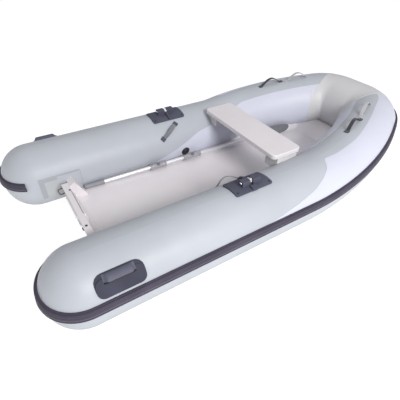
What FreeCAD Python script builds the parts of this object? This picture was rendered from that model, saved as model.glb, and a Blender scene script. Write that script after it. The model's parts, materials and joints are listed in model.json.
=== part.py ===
"""Rigid-hulled inflatable tender with a moulded hull, round-ended tubes, a thwart and a stowed oar.

Millimetres. +X points to the bow, +Y to port and +Z up. The origin is on the floor, under the middle
of the boat, and the boat stands upright on the flat of its keel.
"""
import FreeCAD, Part
import math
import os
import Sketcher

Vector = FreeCAD.Vector
doc = FreeCAD.newDocument("tender")

# Driving sizes: name, value, meaning
SIZES = [
    ("overall_length", 2970, "over the rub rail, stern to bow"),
    ("tube_radius", 212, "radius of the air tubes"),
    ("tube_axis_y", 530, "centreline of the boat to the axis of a side tube"),
    ("tube_axis_height", 300, "floor to the axis of the side tubes at the stern"),
    ("sheer_radius", 960, "radius of the upward bend before the bow"),
    ("sheer_angle", 8.1, "degrees that the bow part of the tubes climbs"),
    ("bow_turn_angle", 27.5, "degrees of the long inward sweep on each side"),
    ("bow_facet_length", 88, "straight stretch between the long sweep and the shoulder"),
    ("shoulder_radius", 226, "radius of the tight bow shoulder, at the tube axis"),
    ("bow_front_length", 180, "straight tube across the bow"),
    ("dome_crown_radius", 236, "radius of the face of a stern dome"),
    ("dome_knuckle_radius", 198, "radius of the rounded edge of a stern dome"),
    ("fit_gap", 0.3, "clearance between a tube and what is seated on it"),
    ("rail_top", 68, "top of the rub rail, above the tube axis"),
    ("rail_bottom", 14, "bottom of the rub rail, above the tube axis"),
    ("rail_thickness", 14, "how far the rub rail's fender stands off the tube"),
    ("rail_lip_thickness", 7, "thickness of the rail's lips, above and below the fender"),
    ("rail_lip_height", 5, "height of each of the rail's lips"),
    ("rail_groove_width", 4, "depth and width of the groove along the fender"),
    ("rail_groove_height", 32, "groove centre, above the tube axis"),
    ("rail_wrap_gap", 82, "rim of a stern dome to the rail's inner end, aft of it"),
    ("transom_inset", 366.5, "stern end of the boat to the front face of the transom"),
    ("transom_thickness", 42, "thickness of the transom board"),
    ("transom_rise", 64, "axis of the side tubes to the top of the transom"),
    ("transom_rake_angle", 10, "degrees that the transom leans aft at its top"),
    ("transom_top_width", 456, "level top of the transom, side to side"),
    ("transom_shoulder_angle", 35, "degrees that the transom's shoulders slope down to the tubes"),
    ("transom_round_radius", 7, "rounding of the transom's top edges"),
    ("cove_gap", 4, "top of the cove at the transom's foot to the motor plate"),
    ("knee_reach", 108, "how far forward a transom knee runs on the sole"),
    ("knee_toe_height", 14, "height of a knee's front end"),
    ("knee_peak_inset", 43, "front face of the transom to the highest point of a knee"),
    ("knee_peak_drop", 19, "top of the transom to the highest point of a knee"),
    ("knee_aft_drop", 44, "top of the transom to a knee's top where the two meet"),
    ("knee_inset", 80, "inner side of a tube to the inboard face of a knee"),
    ("plate_width", 236, "motor plate, side to side"),
    ("plate_height", 84, "motor plate, top to bottom"),
    ("plate_thickness", 8, "thickness of a motor plate"),
    ("plate_corner_radius", 14, "corner radius of a motor plate"),
    ("plate_drop", 4, "top of the transom to the top of a motor plate"),
    ("keel_width", 124, "width of the flat keel pad"),
    ("chine_inset", 130, "axis of a side tube to the chine, inboard"),
    ("chine_drop", 110, "top of the sole to the chine"),
    ("hull_side_width", 40, "chine to the upright of the hull's side"),
    ("hull_side_rise", 24, "how far the hull's side climbs over that width"),
    ("strake_width", 26, "width of a lifting strake"),
    ("strake_inner_share", 0.34, "inner strake, as a share of the way from keel to chine"),
    ("strake_outer_share", 0.7, "outer strake, as a share of the way from keel to chine"),
    ("strake_taper_length", 220, "length over which a strake fades out forward"),
    ("sole_drop", 86, "axis of the side tubes to the top of the sole"),
    ("liner_thickness", 12, "thickness of the moulded sole"),
    ("liner_side_width", 115, "widest inset of the liner's raised side in the bow"),
    ("liner_side_rise", 48, "how far the liner's raised side climbs"),
    ("narrow_lead", 48, "start of the hull's narrowing, aft of the start of the tubes' sweep"),
    ("stem_inset", 60, "axis of the bow tube to the stem"),
    ("stem_drop", 30, "underside of the bow tube to the foot of the stem"),
    ("ramp_foot_inset", 557.5, "bow end of the boat to the foot of the bow ramp"),
    ("ramp_head_inset", 397.5, "bow end of the boat to the top of the bow ramp"),
    ("ramp_rise", 86, "top of the sole to the top of the bow ramp"),
    ("bow_eye_share", 0.8, "bow eye, as a share of the way from the narrowing to the stem"),
    ("bow_eye_length", 60, "span of the bow eye along the stem"),
    ("thwart_share", 0.55374, "stern end to the middle of the thwart, as a share of the length"),
    ("seat_width", 243, "thwart, fore and aft"),
    ("seat_length", 804, "thwart, side to side"),
    ("seat_lift", 24, "crest of the side tubes to the top of the thwart"),
    ("seat_thickness", 32, "thickness of the thwart"),
    ("seat_rim_radius", 6, "rounding of the thwart's edges"),
    ("seat_corner_radius", 34, "corner radius of the thwart"),
    ("shoe_width", 170, "thwart shoe, fore and aft"),
    ("shoe_inset", 26, "inner side of a tube to the inboard face of a thwart shoe"),
    ("shoe_length", 110, "thwart shoe, side to side"),
    ("shoe_depth", 84, "thwart shoe, top to foot"),
    ("oar_aft_gap", 110, "front face of the transom to the end of the oar"),
    ("oar_tip_inset", 661, "bow end of the boat to the tip of the oar's blade"),
    ("oar_side_gap", 4, "side tube to the grip of the oar"),
    ("oar_toe", 94, "how far inboard of its grip the tip of an oar lies"),
    ("oar_radius", 14, "radius of the oar shaft"),
    ("grip_length", 140, "length of the oar grip"),
    ("grip_radius", 17, "radius of the oar grip"),
    ("collar_start", 500, "end of the grip end to the oar collar"),
    ("collar_length", 110, "length of the oar collar"),
    ("collar_radius", 19, "radius of the oar collar"),
    ("clamp_start", 780, "end of the grip end to the clamp that joins the oar's shafts"),
    ("clamp_length", 130, "length of that clamp"),
    ("clamp_radius", 19, "radius of that clamp"),
    ("blade_share", 0.23465, "length of the oar blade, as a share of the oar's length"),
    ("blade_width", 88, "width of the oar blade"),
    ("blade_thickness", 16, "thickness of the oar blade"),
    ("rowlock_share", 0.413, "stern end to the middle of a rowlock, as a share of the length"),
    ("pad_length", 262, "rowlock pad, fore and aft"),
    ("pad_angle", 96, "middle of a rowlock pad, degrees round the tube from outboard"),
    ("pad_span_angle", 38, "rowlock pad, degrees round the tube"),
    ("pad_thickness", 10, "thickness of a rowlock pad"),
    ("lug_height", 34, "rowlock lugs above the pad"),
    ("lug_length", 54, "a rowlock lug, fore and aft"),
    ("lug_gap", 20, "gap between the rowlock lugs"),
    ("lug_width", 44, "a rowlock lug, side to side"),
    ("pad_corner_radius", 12, "corner radius of a rowlock pad"),
    ("lug_root_depth", 30, "depth of the lugs below the crest of the pad"),
    ("lug_round_radius", 6, "rounding of the lugs' top edges"),
    ("pin_inset", 10, "axis of a side tube to the rowlock pin, inboard"),
    ("pin_height", 20, "rowlock pin above the crest of the pad"),
    ("pin_fit", 0.05, "clearance of the pin in its lugs"),
    ("pin_radius", 5, "radius of the rowlock pin"),
    ("tongue_length", 92, "pin to the tip of the rowlock tongue"),
    ("tongue_width", 16, "width of the rowlock tongue"),
    ("tongue_eye_radius", 12, "radius of the tongue round its pin"),
    ("tongue_slope_angle", 20, "degrees that the resting tongue slopes down inboard"),
    ("tongue_round_radius", 2.5, "rounding of the tongue's edges"),
    ("swivel_clearance", 0.1, "running clearance of the tongue on its pin"),
    ("handle_inset", 360.5, "stern end of the boat to the middle of a stern handle"),
    ("handle_pad_length", 236, "stern handle pad, fore and aft"),
    ("handle_pad_angle", 35, "middle of a stern handle pad, degrees up from outboard"),
    ("handle_pad_span_angle", 24, "stern handle pad, degrees round the tube"),
    ("handle_pad_thickness", 8, "thickness of a stern handle pad"),
    ("handle_pad_corner_radius", 36, "corner radius of a stern handle pad"),
    ("grip_offset_angle", 4.5, "middle of a stern grip above the middle of its pad, degrees"),
    ("grip_room_length", 126, "finger room of a stern grip, fore and aft"),
    ("grip_slope_length", 20, "a stern grip's rising end, fore and aft"),
    ("grip_rise", 34, "height of a stern grip above its pad"),
    ("grip_width", 36, "width of a stern grip"),
    ("grip_thickness", 10, "thickness of a stern grip"),
    ("grip_bend_radius", 16, "bend radius of a stern grip"),
    ("grip_edge_radius", 3, "rounding of a stern grip's edges"),
    ("patch_aft", 116, "transom patch, aft of the transom"),
    ("patch_length", 268, "transom patch on a tube, fore and aft"),
    ("patch_thickness", 2, "thickness of a glued patch"),
    ("patch_angle", 160, "start of a transom patch, degrees round the tube"),
    ("patch_span_angle", 43, "transom patch, degrees round the tube"),
    ("valve_share", 0.4369, "stern end to an inflation valve, as a share of the length"),
    ("valve_radius", 26, "radius of an inflation valve"),
    ("valve_height", 9, "how far a valve stands off its tube"),
    ("valve_root_depth", 10, "depth of a valve's body below the tube's crest there"),
    ("valve_angle", 191, "valve, degrees round the tube from outboard"),
    ("strap_bend_radius", 12, "bend radius of a strap"),
    ("strap_root_depth", 6, "how deep the line of a strap starts below the tube's face"),
    ("strap_thickness", 5, "thickness of the straps"),
    ("bow_strap_width", 30, "width of the bow handles and loops"),
    ("side_strap_share", 0.40205, "stern end to the middle of a side strap, as a share of the length"),
    ("side_strap_length", 168, "side strap, fore and aft"),
    ("side_strap_width", 36, "width of a side strap"),
    ("side_strap_low_angle", 153, "aft end of a side strap, degrees round the tube"),
    ("side_strap_high_angle", 121, "forward end of a side strap, degrees round the tube"),
    ("side_strap_rise", 44, "how far a side strap stands off its tube"),
    ("bow_handle_start_angle", 12.6, "aft end of a bow handle, degrees along the sweep"),
    ("bow_handle_end_angle", 19.4, "forward end of a bow handle, degrees along the sweep"),
    ("bow_handle_lean_angle", 12, "bow handle, degrees inboard of the crest"),
    ("bow_handle_rise", 34, "how far a bow handle stands off its tube"),
    ("bow_loop_start_angle", 20.4, "aft end of a bow loop, degrees along the sweep"),
    ("bow_loop_end_angle", 26.4, "forward end of a bow loop, degrees along the sweep"),
    ("bow_loop_lean_angle", 14, "bow loop, degrees inboard of the crest"),
    ("bow_loop_rise", 30, "how far a bow loop stands off its tube"),
    ("eye_bar_radius", 4, "radius of the bar of an eye"),
    ("eye_length", 44, "span of a stern eye"),
    ("eye_reach", 34, "how far an eye stands off"),
    ("eye_bend_radius", 12, "bend radius of an eye"),
    ("stern_eye_inset", 56, "inner side of a tube to a stern eye"),
    ("stern_eye_drop", 74, "top of the transom to the middle of a stern eye"),
    ("bung_radius", 16, "radius of the drain bung"),
    ("bung_length", 14, "how far the drain bung stands off the transom"),
    ("bung_height", 150, "floor to the drain bung"),
]

sheet = doc.addObject("Spreadsheet::Sheet", "sizes")
for row, (alias, number, meaning) in enumerate(SIZES, start=1):
    sheet.set(f"A{row}", meaning)
    sheet.set(f"B{row}", str(number))
    sheet.setAlias(f"B{row}", alias)
doc.recompute()


class Size:
    """A length with its number and the sheet expression that gives it."""

    def __init__(self, number, text):
        self.number = float(number)
        self.text = text

    def combine(self, other, sign, result):
        text = other.text if isinstance(other, Size) else repr(other)
        return Size(result, f"({self.text} {sign} {text})")

    def __add__(self, other):
        return self.combine(other, "+", self.number + float(other))

    def __sub__(self, other):
        return self.combine(other, "-", self.number - float(other))

    def __mul__(self, other):
        return self.combine(other, "*", self.number * float(other))

    def __truediv__(self, other):
        return self.combine(other, "/", self.number / float(other))

    def __neg__(self):
        return Size(-self.number, f"(0 - {self.text})")

    def __float__(self):
        return self.number


def size(alias):
    return Size(sheet.get(alias), f"sizes.{alias}")


def root(measure):
    return Size(math.sqrt(float(measure)), f"sqrt({measure.text})")


def bind(thing, path, measure):
    """Tie one property to the sheet, or set a plain number."""
    if isinstance(measure, Size):
        thing.setExpression(path, measure.text)
    else:
        thing.setExpression(path, repr(float(measure)))


def place(thing, x=0, y=0, z=0):
    for axis, measure in (("x", x), ("y", y), ("z", z)):
        bind(thing, f"Placement.Base.{axis}", measure)
    return thing


def turn(thing, axis, angle):
    """Turn an object about its own origin; the angle is a Size in degrees or a number."""
    thing.Placement = FreeCAD.Placement(thing.Placement.Base, FreeCAD.Rotation(axis, float(angle)))
    bind(thing, "Placement.Rotation.Angle", angle)
    return thing


X_AXIS, Y_AXIS, Z_AXIS = Vector(1, 0, 0), Vector(0, 1, 0), Vector(0, 0, 1)
OVERSHOOT = 1


def feature(name, shape):
    """A document object whose shape comes from Part's own functions."""
    thing = doc.addObject("Part::Feature", name)
    thing.Shape = shape
    return thing


def cut(name, base, tool):
    thing = doc.addObject("Part::Cut", name)
    thing.Base, thing.Tool = base, tool
    return thing


def fuse(name, parts):
    thing = doc.addObject("Part::MultiFuse", name)
    thing.Shapes = parts
    return thing


def common(name, parts):
    thing = doc.addObject("Part::MultiCommon", name)
    thing.Shapes = parts
    return thing


def rounded(name, base, radius, chosen):
    """A fillet on the edges that the test picks."""
    doc.recompute()
    names = [i for i, edge in enumerate(base.Shape.Edges, start=1) if chosen(edge)]
    thing = doc.addObject("Part::Fillet", name)
    thing.Base = base
    thing.Edges = [(i, float(radius), float(radius)) for i in names]
    return thing


def mirrored(name, source):
    """The starboard twin of a port piece."""
    thing = doc.addObject("Part::Mirroring", name)
    thing.Source, thing.Base, thing.Normal = source, Vector(0, 0, 0), Y_AXIS
    return thing


def box(name, x, y, z, length, width, height):
    thing = doc.addObject("Part::Box", name)
    for path, measure in (("Length", length), ("Width", width), ("Height", height)):
        bind(thing, path, measure)
    return place(thing, x, y, z)


def cylinder(name, radius, height, angle=360):
    thing = doc.addObject("Part::Cylinder", name)
    for path, measure in (("Radius", radius), ("Height", height), ("Angle", angle)):
        bind(thing, path, measure)
    return thing


# Sketches and bodies
def origin_plane(body, role):
    return next(item for item in body.Origin.OriginFeatures if item.Role == role)


def outline(body, name, plane, points, offset=0):
    """A closed sketch of straight lines, each corner held from the sketch's origin by the sheet."""
    sketch = body.newObject("Sketcher::SketchObject", name)
    sketch.AttachmentSupport = (origin_plane(body, plane), [""])
    sketch.MapMode = "FlatFace"
    bind(sketch, "AttachmentOffset.Base.z", offset)
    count = len(points)
    flat = [Vector(float(u), float(v), 0) for u, v in points]
    for i in range(count):
        sketch.addGeometry(Part.LineSegment(flat[i], flat[(i + 1) % count]), False)
    for i in range(count):
        sketch.addConstraint(Sketcher.Constraint("Coincident", i, 2, (i + 1) % count, 1))
    for i, corner in enumerate(points):
        for kind, axis, measure in (("DistanceX", -2, corner[0]), ("DistanceY", -1, corner[1])):
            if float(measure) == 0:
                sketch.addConstraint(Sketcher.Constraint("PointOnObject", i, 1, axis))
                continue
            index = sketch.addConstraint(Sketcher.Constraint(kind, -1, 1, i, 1, float(measure)))
            if isinstance(measure, Size):
                sketch.setExpression(f"Constraints[{index}]", measure.text)
    return sketch


def rectangle(body, name, plane, width, height, offset=0, centre_u=0, centre_v=0):
    left, right = width / -2 + centre_u, width / 2 + centre_u
    low, high = height / -2 + centre_v, height / 2 + centre_v
    return outline(body, name, plane, [(left, low), (right, low), (right, high), (left, high)], offset)


def circles(body, name, plane, rounds, offset=0):
    """A sketch of full circles: each is centre u, centre v and radius."""
    sketch = body.newObject("Sketcher::SketchObject", name)
    sketch.AttachmentSupport = (origin_plane(body, plane), [""])
    sketch.MapMode = "FlatFace"
    bind(sketch, "AttachmentOffset.Base.z", offset)
    for i, (u, v, radius) in enumerate(rounds):
        centre = Vector(float(u), float(v), 0)
        sketch.addGeometry(Part.Circle(centre, Z_AXIS, float(radius)), False)
        for kind, axis, measure in (("DistanceX", -2, u), ("DistanceY", -1, v)):
            if float(measure) == 0:
                sketch.addConstraint(Sketcher.Constraint("PointOnObject", i, 3, axis))
                continue
            index = sketch.addConstraint(Sketcher.Constraint(kind, -1, 1, i, 3, float(measure)))
            if isinstance(measure, Size):
                sketch.setExpression(f"Constraints[{index}]", measure.text)
        index = sketch.addConstraint(Sketcher.Constraint("Radius", i, float(radius)))
        if isinstance(radius, Size):
            sketch.setExpression(f"Constraints[{index}]", radius.text)
    return sketch


def new_body(name):
    return doc.addObject("PartDesign::Body", name)


def pad(body, name, sketch, length, reverse=False, middle=False):
    thing = body.newObject("PartDesign::Pad", name)
    thing.Profile = sketch
    bind(thing, "Length", length)
    thing.Reversed = reverse
    if middle:
        thing.Midplane = True
    return thing


def pocket(body, name, sketch, length, reverse=False, middle=False):
    before = body.Tip
    thing = body.newObject("PartDesign::Pocket", name)
    thing.Profile = sketch
    bind(thing, "Length", length)
    thing.Reversed = reverse
    if middle:
        thing.Midplane = True
    doc.recompute()
    if thing.Shape.Volume >= before.Shape.Volume:
        raise ValueError(f"{name} cuts nothing")
    return thing


def revolve(body, name, sketch, axis="V_Axis"):
    thing = body.newObject("PartDesign::Revolution", name)
    thing.Profile = sketch
    thing.ReferenceAxis = (sketch, [axis])
    thing.Angle = 360
    return thing


def round_edges(body, name, radius, chosen):
    """Fillet the edges of the body's tip that the test picks."""
    doc.recompute()
    base = body.Tip
    names = [f"Edge{i}" for i, edge in enumerate(base.Shape.Edges, start=1) if chosen(edge)]
    thing = body.newObject("PartDesign::Fillet", name)
    thing.Base = (base, names)
    bind(thing, "Radius", radius)
    return thing


def along(direction):
    """A test for straight edges that run along a direction."""
    def chosen(edge):
        if edge.Curve.TypeId != "Part::GeomLine":
            return False
        return abs(abs(edge.tangentAt(edge.FirstParameter).dot(direction)) - 1) < 1e-6
    return chosen


# The axis of the air tubes, port half: level, a gentle bend upward, then arcs in one sloping plane
class TubeAxis:
    def __init__(self):
        self.radius = float(size("tube_radius"))
        self.side_y = float(size("tube_axis_y"))
        self.height = float(size("tube_axis_height"))
        self.sheer = math.radians(float(size("sheer_angle")))
        self.sweep = math.radians(float(size("bow_turn_angle")))
        sheer_radius = float(size("sheer_radius"))
        facet = float(size("bow_facet_length"))
        shoulder = float(size("shoulder_radius"))
        front_half = float(size("bow_front_length")) / 2
        crown = float(size("dome_crown_radius"))
        knuckle = float(size("dome_knuckle_radius"))
        self.forward = Vector(math.cos(self.sheer), 0, math.sin(self.sheer))
        left_over = (self.side_y - front_half - facet * math.sin(self.sweep)
                     - shoulder * math.cos(self.sweep))
        self.sweep_radius = left_over / (1 - math.cos(self.sweep))
        in_plane = (self.sweep_radius * math.sin(self.sweep) + facet * math.cos(self.sweep)
                    + shoulder * (1 - math.sin(self.sweep)))
        half_length = float(size("overall_length")) / 2
        rail_top_radius = self.radius + float(size("rail_thickness"))
        rail_foot = float(size("rail_bottom"))
        front_reach = (math.cos(self.sheer) * math.sqrt(rail_top_radius ** 2 - rail_foot ** 2)
                       - math.sin(self.sheer) * rail_foot)
        self.bow_x = half_length - front_reach
        bend_end = self.bow_x - in_plane * math.cos(self.sheer)
        self.bend_x = bend_end - sheer_radius * math.sin(self.sheer)
        dome_reach = math.sqrt((crown + float(size("rail_thickness"))) ** 2 - rail_foot ** 2)
        self.stern_x = dome_reach - crown - half_length
        self.dome_length = crown - math.sqrt((crown - knuckle) ** 2 - (self.radius - knuckle) ** 2)
        self.dome_x = self.stern_x + self.dome_length
        bend_centre = Vector(self.bend_x, self.side_y, self.height + sheer_radius)
        self.start = Vector(self.dome_x, self.side_y, self.height)
        bend = [bend_centre + Vector(math.sin(a), 0, -math.cos(a)) * sheer_radius
                for a in (0, self.sheer / 2, self.sheer)]
        self.sweep_start = bend[2]
        self.sweep_centre = bend[2] - Y_AXIS * self.sweep_radius
        turns = [self.sweep_point(a) for a in (0, self.sweep / 2, self.sweep)]
        heading = self.forward * math.cos(self.sweep) - Y_AXIS * math.sin(self.sweep)
        facet_end = turns[2] + heading * facet
        inward = self.forward * -math.sin(self.sweep) - Y_AXIS * math.cos(self.sweep)
        corner = facet_end + inward * shoulder
        angles = (self.sweep, (self.sweep + math.pi / 2) / 2, math.pi / 2)
        bow = [corner + (self.forward * math.sin(a) + Y_AXIS * math.cos(a)) * shoulder for a in angles]
        self.bow_centre = Vector(bow[2].x, 0, bow[2].z)
        self.side_edges = [Part.makeLine(self.start, bend[0]), Part.Arc(*bend).toShape(),
                           Part.Arc(*turns).toShape()]
        self.seam = (turns[2], heading)
        self.bow_edges = [Part.makeLine(turns[2], facet_end), Part.Arc(*bow).toShape(),
                          Part.makeLine(bow[2], self.bow_centre)]

    def sweep_point(self, angle):
        """A point of the long inward sweep, at an angle from its start."""
        arm = self.forward * math.sin(angle) + Y_AXIS * math.cos(angle)
        return self.sweep_centre + arm * self.sweep_radius

    def sweep_frame(self, angle):
        """Place on the long sweep: point, heading, outboard and up directions."""
        heading = self.forward * math.cos(angle) - Y_AXIS * math.sin(angle)
        outboard = self.forward * math.sin(angle) + Y_AXIS * math.cos(angle)
        return self.sweep_point(angle), heading, outboard, outboard.cross(heading) * -1

    def half(self):
        return Part.Wire(self.side_edges + self.bow_edges)


tubes = TubeAxis()


def swept(name, path, profile):
    """A closed profile carried along a path of lines and arcs."""
    return feature(name, path.makePipeShell([profile], True, False))


def dome_profile(grow):
    """Half the section of a stern dome, offset outward by grow, to be turned about the tube axis."""
    crown = float(size("dome_crown_radius")) + grow
    knuckle = float(size("dome_knuckle_radius")) + grow
    radius = tubes.radius + grow
    length = crown - math.sqrt((crown - knuckle) ** 2 - (radius - knuckle) ** 2)
    end = tubes.dome_x
    tip = Vector(end - length, 0, 0)
    centre = Vector(tip.x + crown, 0, 0)
    hub = Vector(end, radius - knuckle, 0)
    meet_direction = (hub - centre).normalize()
    meet = centre + meet_direction * crown
    half_way = (meet - centre).normalize() + Vector(-1, 0, 0)
    crown_middle = centre + half_way.normalize() * crown
    knuckle_middle = hub + (meet_direction + Y_AXIS).normalize() * knuckle
    rim = Vector(end, radius, 0)
    edges = [Part.Arc(tip, crown_middle, meet).toShape(), Part.Arc(meet, knuckle_middle, rim).toShape(),
             Part.makeLine(rim, Vector(end, 0, 0)), Part.makeLine(Vector(end, 0, 0), tip)]
    return Part.Face(Part.Wire(edges))


def dome(name, grow):
    solid = dome_profile(grow).revolve(Vector(0, 0, 0), X_AXIS, 360)
    thing = feature(name, solid)
    thing.Placement.Base = Vector(0, tubes.side_y, tubes.height)
    return thing


def round_profile(point, heading, radius):
    return Part.Wire(Part.Circle(point, heading, radius).toShape())


# Air tubes
def tube_solid(name, grow):
    """The whole port side tube, thicker by grow."""
    run = swept(f"{name}_run", Part.Wire(tubes.side_edges),
                round_profile(tubes.start, X_AXIS, tubes.radius + grow))
    return fuse(name, [run, dome(f"{name}_dome", grow)])


def bow_solid(name, grow):
    """The tube across the bow, from seam to seam."""
    point, heading = tubes.seam
    half = swept(f"{name}_half", Part.Wire(tubes.bow_edges),
                 round_profile(point, heading, tubes.radius + grow))
    return fuse(name, [half, mirrored(f"{name}_twin", half)])


tube_port = tube_solid("tube_port", 0)
tube_starboard = mirrored("tube_starboard", tube_port)
tube_bow = bow_solid("tube_bow", 0)

gap = float(size("fit_gap"))
room_port = tube_solid("room_port", gap)
room_starboard = mirrored("room_starboard", room_port)
room_bow = bow_solid("room_bow", gap)
room = fuse("tube_room", [room_port, room_starboard, room_bow])


# Rub rail
def rail_section(inner, outer, low, high):
    """A strip of the ring between two radii, on the outboard side, in the tube's start plane."""
    def at(radius, up):
        return tubes.start + Vector(0, math.sqrt(radius ** 2 - up ** 2), up)
    middle = (low + high) / 2
    edges = [Part.Arc(at(outer, low), at(outer, middle), at(outer, high)).toShape(),
             Part.makeLine(at(outer, high), at(inner, high)),
             Part.Arc(at(inner, high), at(inner, middle), at(inner, low)).toShape(),
             Part.makeLine(at(inner, low), at(outer, low))]
    return Part.Wire(edges)


def rail_cut_at_seam(shape, keep_side):
    """The part of a whole-half rail aft of the seam, or forward of it."""
    point, heading = tubes.seam
    reach = float(size("overall_length"))
    plate = Part.makeBox(reach, reach, reach, Vector(-reach / 2, -reach / 2, 0))
    plate.Placement = FreeCAD.Placement(point, FreeCAD.Rotation(Z_AXIS, heading * keep_side))
    return shape.common(plate)


def dome_band(name, inner, outer, low, high):
    """The rail's stretch round a stern dome, which ends on the inner side short of the rim."""
    ring = dome_profile(outer - tubes.radius).revolve(Vector(0, 0, 0), X_AXIS, 360)
    hole = dome_profile(inner - tubes.radius).revolve(Vector(0, 0, 0), X_AXIS, 360)
    reach = outer + OVERSHOOT
    slab = Part.makeBox(2 * reach, 2 * reach, high - low, Vector(tubes.dome_x - 2 * reach, -reach, low))
    end = tubes.dome_x - float(size("rail_wrap_gap"))
    inner_side_box = Part.makeBox(reach, reach, high - low, Vector(end, -reach, low))
    band = ring.cut(hole).common(slab).cut(inner_side_box)
    band.translate(Vector(0, tubes.side_y, tubes.height))
    return feature(name, band)


def rail_half(name, inner, outer, low, high):
    path = tubes.half()
    run = swept(f"{name}_run", path, rail_section(inner, outer, low, high))
    return fuse(name, [run, dome_band(f"{name}_dome", inner, outer, low, high)])


rail_low, rail_high = float(size("rail_bottom")), float(size("rail_top"))
rail_inner = tubes.radius + gap
rail_outer = tubes.radius + float(size("rail_thickness"))
lip_outer = tubes.radius + float(size("rail_lip_thickness"))
lip = float(size("rail_lip_height"))
groove = float(size("rail_groove_width"))
groove_low = float(size("rail_groove_height")) - groove / 2
rail_base = rail_half("rail_base", rail_inner, lip_outer, rail_low, rail_high)
rail_fender = rail_half("rail_fender", rail_inner, rail_outer, rail_low + lip, rail_high - lip)
rail_groove = rail_half("rail_groove_cut", rail_outer - groove, rail_outer + groove, groove_low,
                        groove_low + groove)
rail_whole = cut("rail_whole", fuse("rail_blank", [rail_base, rail_fender]), rail_groove)
doc.recompute()
rail_port = feature("rail_port", rail_cut_at_seam(rail_whole.Shape, -1))
rail_starboard = mirrored("rail_starboard", rail_port)
rail_bow_half = feature("rail_bow_half", rail_cut_at_seam(rail_whole.Shape, 1))
rail_bow = fuse("rail_bow", [rail_bow_half, mirrored("rail_bow_twin", rail_bow_half)])


def side_prism(name, wire, half_width):
    """A side view extruded to both sides of the centreline."""
    face = Part.Face(wire)
    face.translate(Vector(0, -half_width, 0))
    return feature(name, face.extrude(Vector(0, 2 * half_width, 0)))


def closed(corners):
    return Part.makePolygon(corners + corners[:1])


# Stations along the boat
half_boat = size("overall_length") / 2
stern_end = -half_boat
transom_front = stern_end + size("transom_inset")
board = size("transom_thickness")
transom_back = transom_front - board
transom_top = size("tube_axis_height") + size("transom_rise")
sole_top = size("tube_axis_height") - size("sole_drop")
sole_under = sole_top - size("liner_thickness")
crest = size("tube_axis_height") + size("tube_radius")
tube_inner_y = size("tube_axis_y") - size("tube_radius")


def station(share):
    """The place of a share of the length, from the stern end."""
    return stern_end + size("overall_length") * size(share)


rake = math.radians(float(size("transom_rake_angle")))
FACE_UP = Vector(-math.sin(rake), 0, math.cos(rake))
FACE_OUT = Vector(math.cos(rake), 0, math.sin(rake))


def face_point(top_x, height):
    """The point at a height on a plane that leans like the transom, from its place at the transom's top."""
    return Vector(float(top_x) + (float(transom_top) - float(height)) * math.tan(rake), 0, float(height))


def aft_of(name, top_x):
    """All the room aft of such a plane."""
    high, low = float(transom_top) + tubes.radius, -tubes.radius
    far = Vector(float(stern_end) - tubes.radius, 0, 0)
    corners = [face_point(top_x, high), face_point(top_x, low), far + Z_AXIS * low, far + Z_AXIS * high]
    return side_prism(name, closed(corners), 2 * tubes.side_y)


def inner_side(height):
    """Centreline to the face of a side tube at a height, with the fit gap."""
    reach = size("tube_radius") + size("fit_gap")
    drop = size("tube_axis_height") - height
    return size("tube_axis_y") - root(reach * reach - drop * drop)


# Hull: a level prism aft and a loft that narrows and rises to the stem
keel_half = float(size("keel_width")) / 2
chine_y = tubes.side_y - float(size("chine_inset"))
chine_height = float(sole_top - size("chine_drop"))
side_width, side_rise = float(size("hull_side_width")), float(size("hull_side_rise"))
narrow_x = tubes.sweep_start.x - float(size("narrow_lead"))
stem_x = tubes.bow_x - float(size("stem_inset"))
stem_foot = tubes.bow_centre.z - tubes.radius - float(size("stem_drop"))
ramp_top = float(sole_top + size("ramp_rise"))
hull_top = ramp_top + float(size("liner_thickness"))


def hull_section(x, keel_height, keel_side, knuckle_y, knuckle_height, narrowing):
    """Half the moulded section at x, from the centreline out to the tube and back."""
    side_y = knuckle_y + side_width * narrowing
    corners = [(0, keel_height), (keel_side, keel_height), (knuckle_y, knuckle_height),
               (side_y, knuckle_height + side_rise), (side_y, hull_top), (0, hull_top)]
    return closed([Vector(x, y, z) for y, z in corners])


BOW_SHARES = (0, 0.12, 0.28, 0.46, 0.64, 0.82, 1)
BOW_FINENESS = 2.6
STEM_SHARE = 0.92
KEEL_POWER = 2.4
CHINE_POWER = 1.9
KEEL_TAPER = 0.75
STRAKE_TIP_SHARE = 0.25


def keel_line(share):
    """The point of the keel's line between the start of the narrowing and the stem."""
    return Vector(narrow_x + (stem_x - narrow_x) * share, 0, stem_foot * share ** KEEL_POWER)


def hull_station(share):
    """A section at a share of the way from the start of the narrowing to the stem."""
    keel = keel_line(share)
    narrowing = math.sqrt(1 - (STEM_SHARE * share) ** BOW_FINENESS)
    chine = chine_height + (stem_foot - chine_height) * share ** CHINE_POWER
    return hull_section(keel.x, keel.z, keel_half * (1 - KEEL_TAPER * share), chine_y * narrowing,
                        chine + side_rise * share / 2, narrowing)


def strake(name, share):
    """A lifting strake: a flat step under the bottom, faded out forward."""
    start, end = float(transom_back), narrow_x
    slope = chine_height / (chine_y - keel_half)
    inner_y = keel_half + (chine_y - keel_half) * float(size(share))
    foot = (inner_y - keel_half) * slope
    width = float(size("strake_width"))
    depth = 2 * width * slope

    def step(x, reach):
        corners = [Vector(x, inner_y, foot), Vector(x, inner_y + reach, foot),
                   Vector(x, inner_y + reach, foot + depth), Vector(x, inner_y, foot + depth)]
        return closed(corners)

    fade = end - float(size("strake_taper_length"))
    full = Part.Face(step(start, width)).extrude(Vector(fade - start, 0, 0))
    tip = Part.makeLoft([step(fade, width), step(end, width * STRAKE_TIP_SHARE)], True, True)
    return feature(name, full.fuse(tip).removeSplitter())


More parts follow.
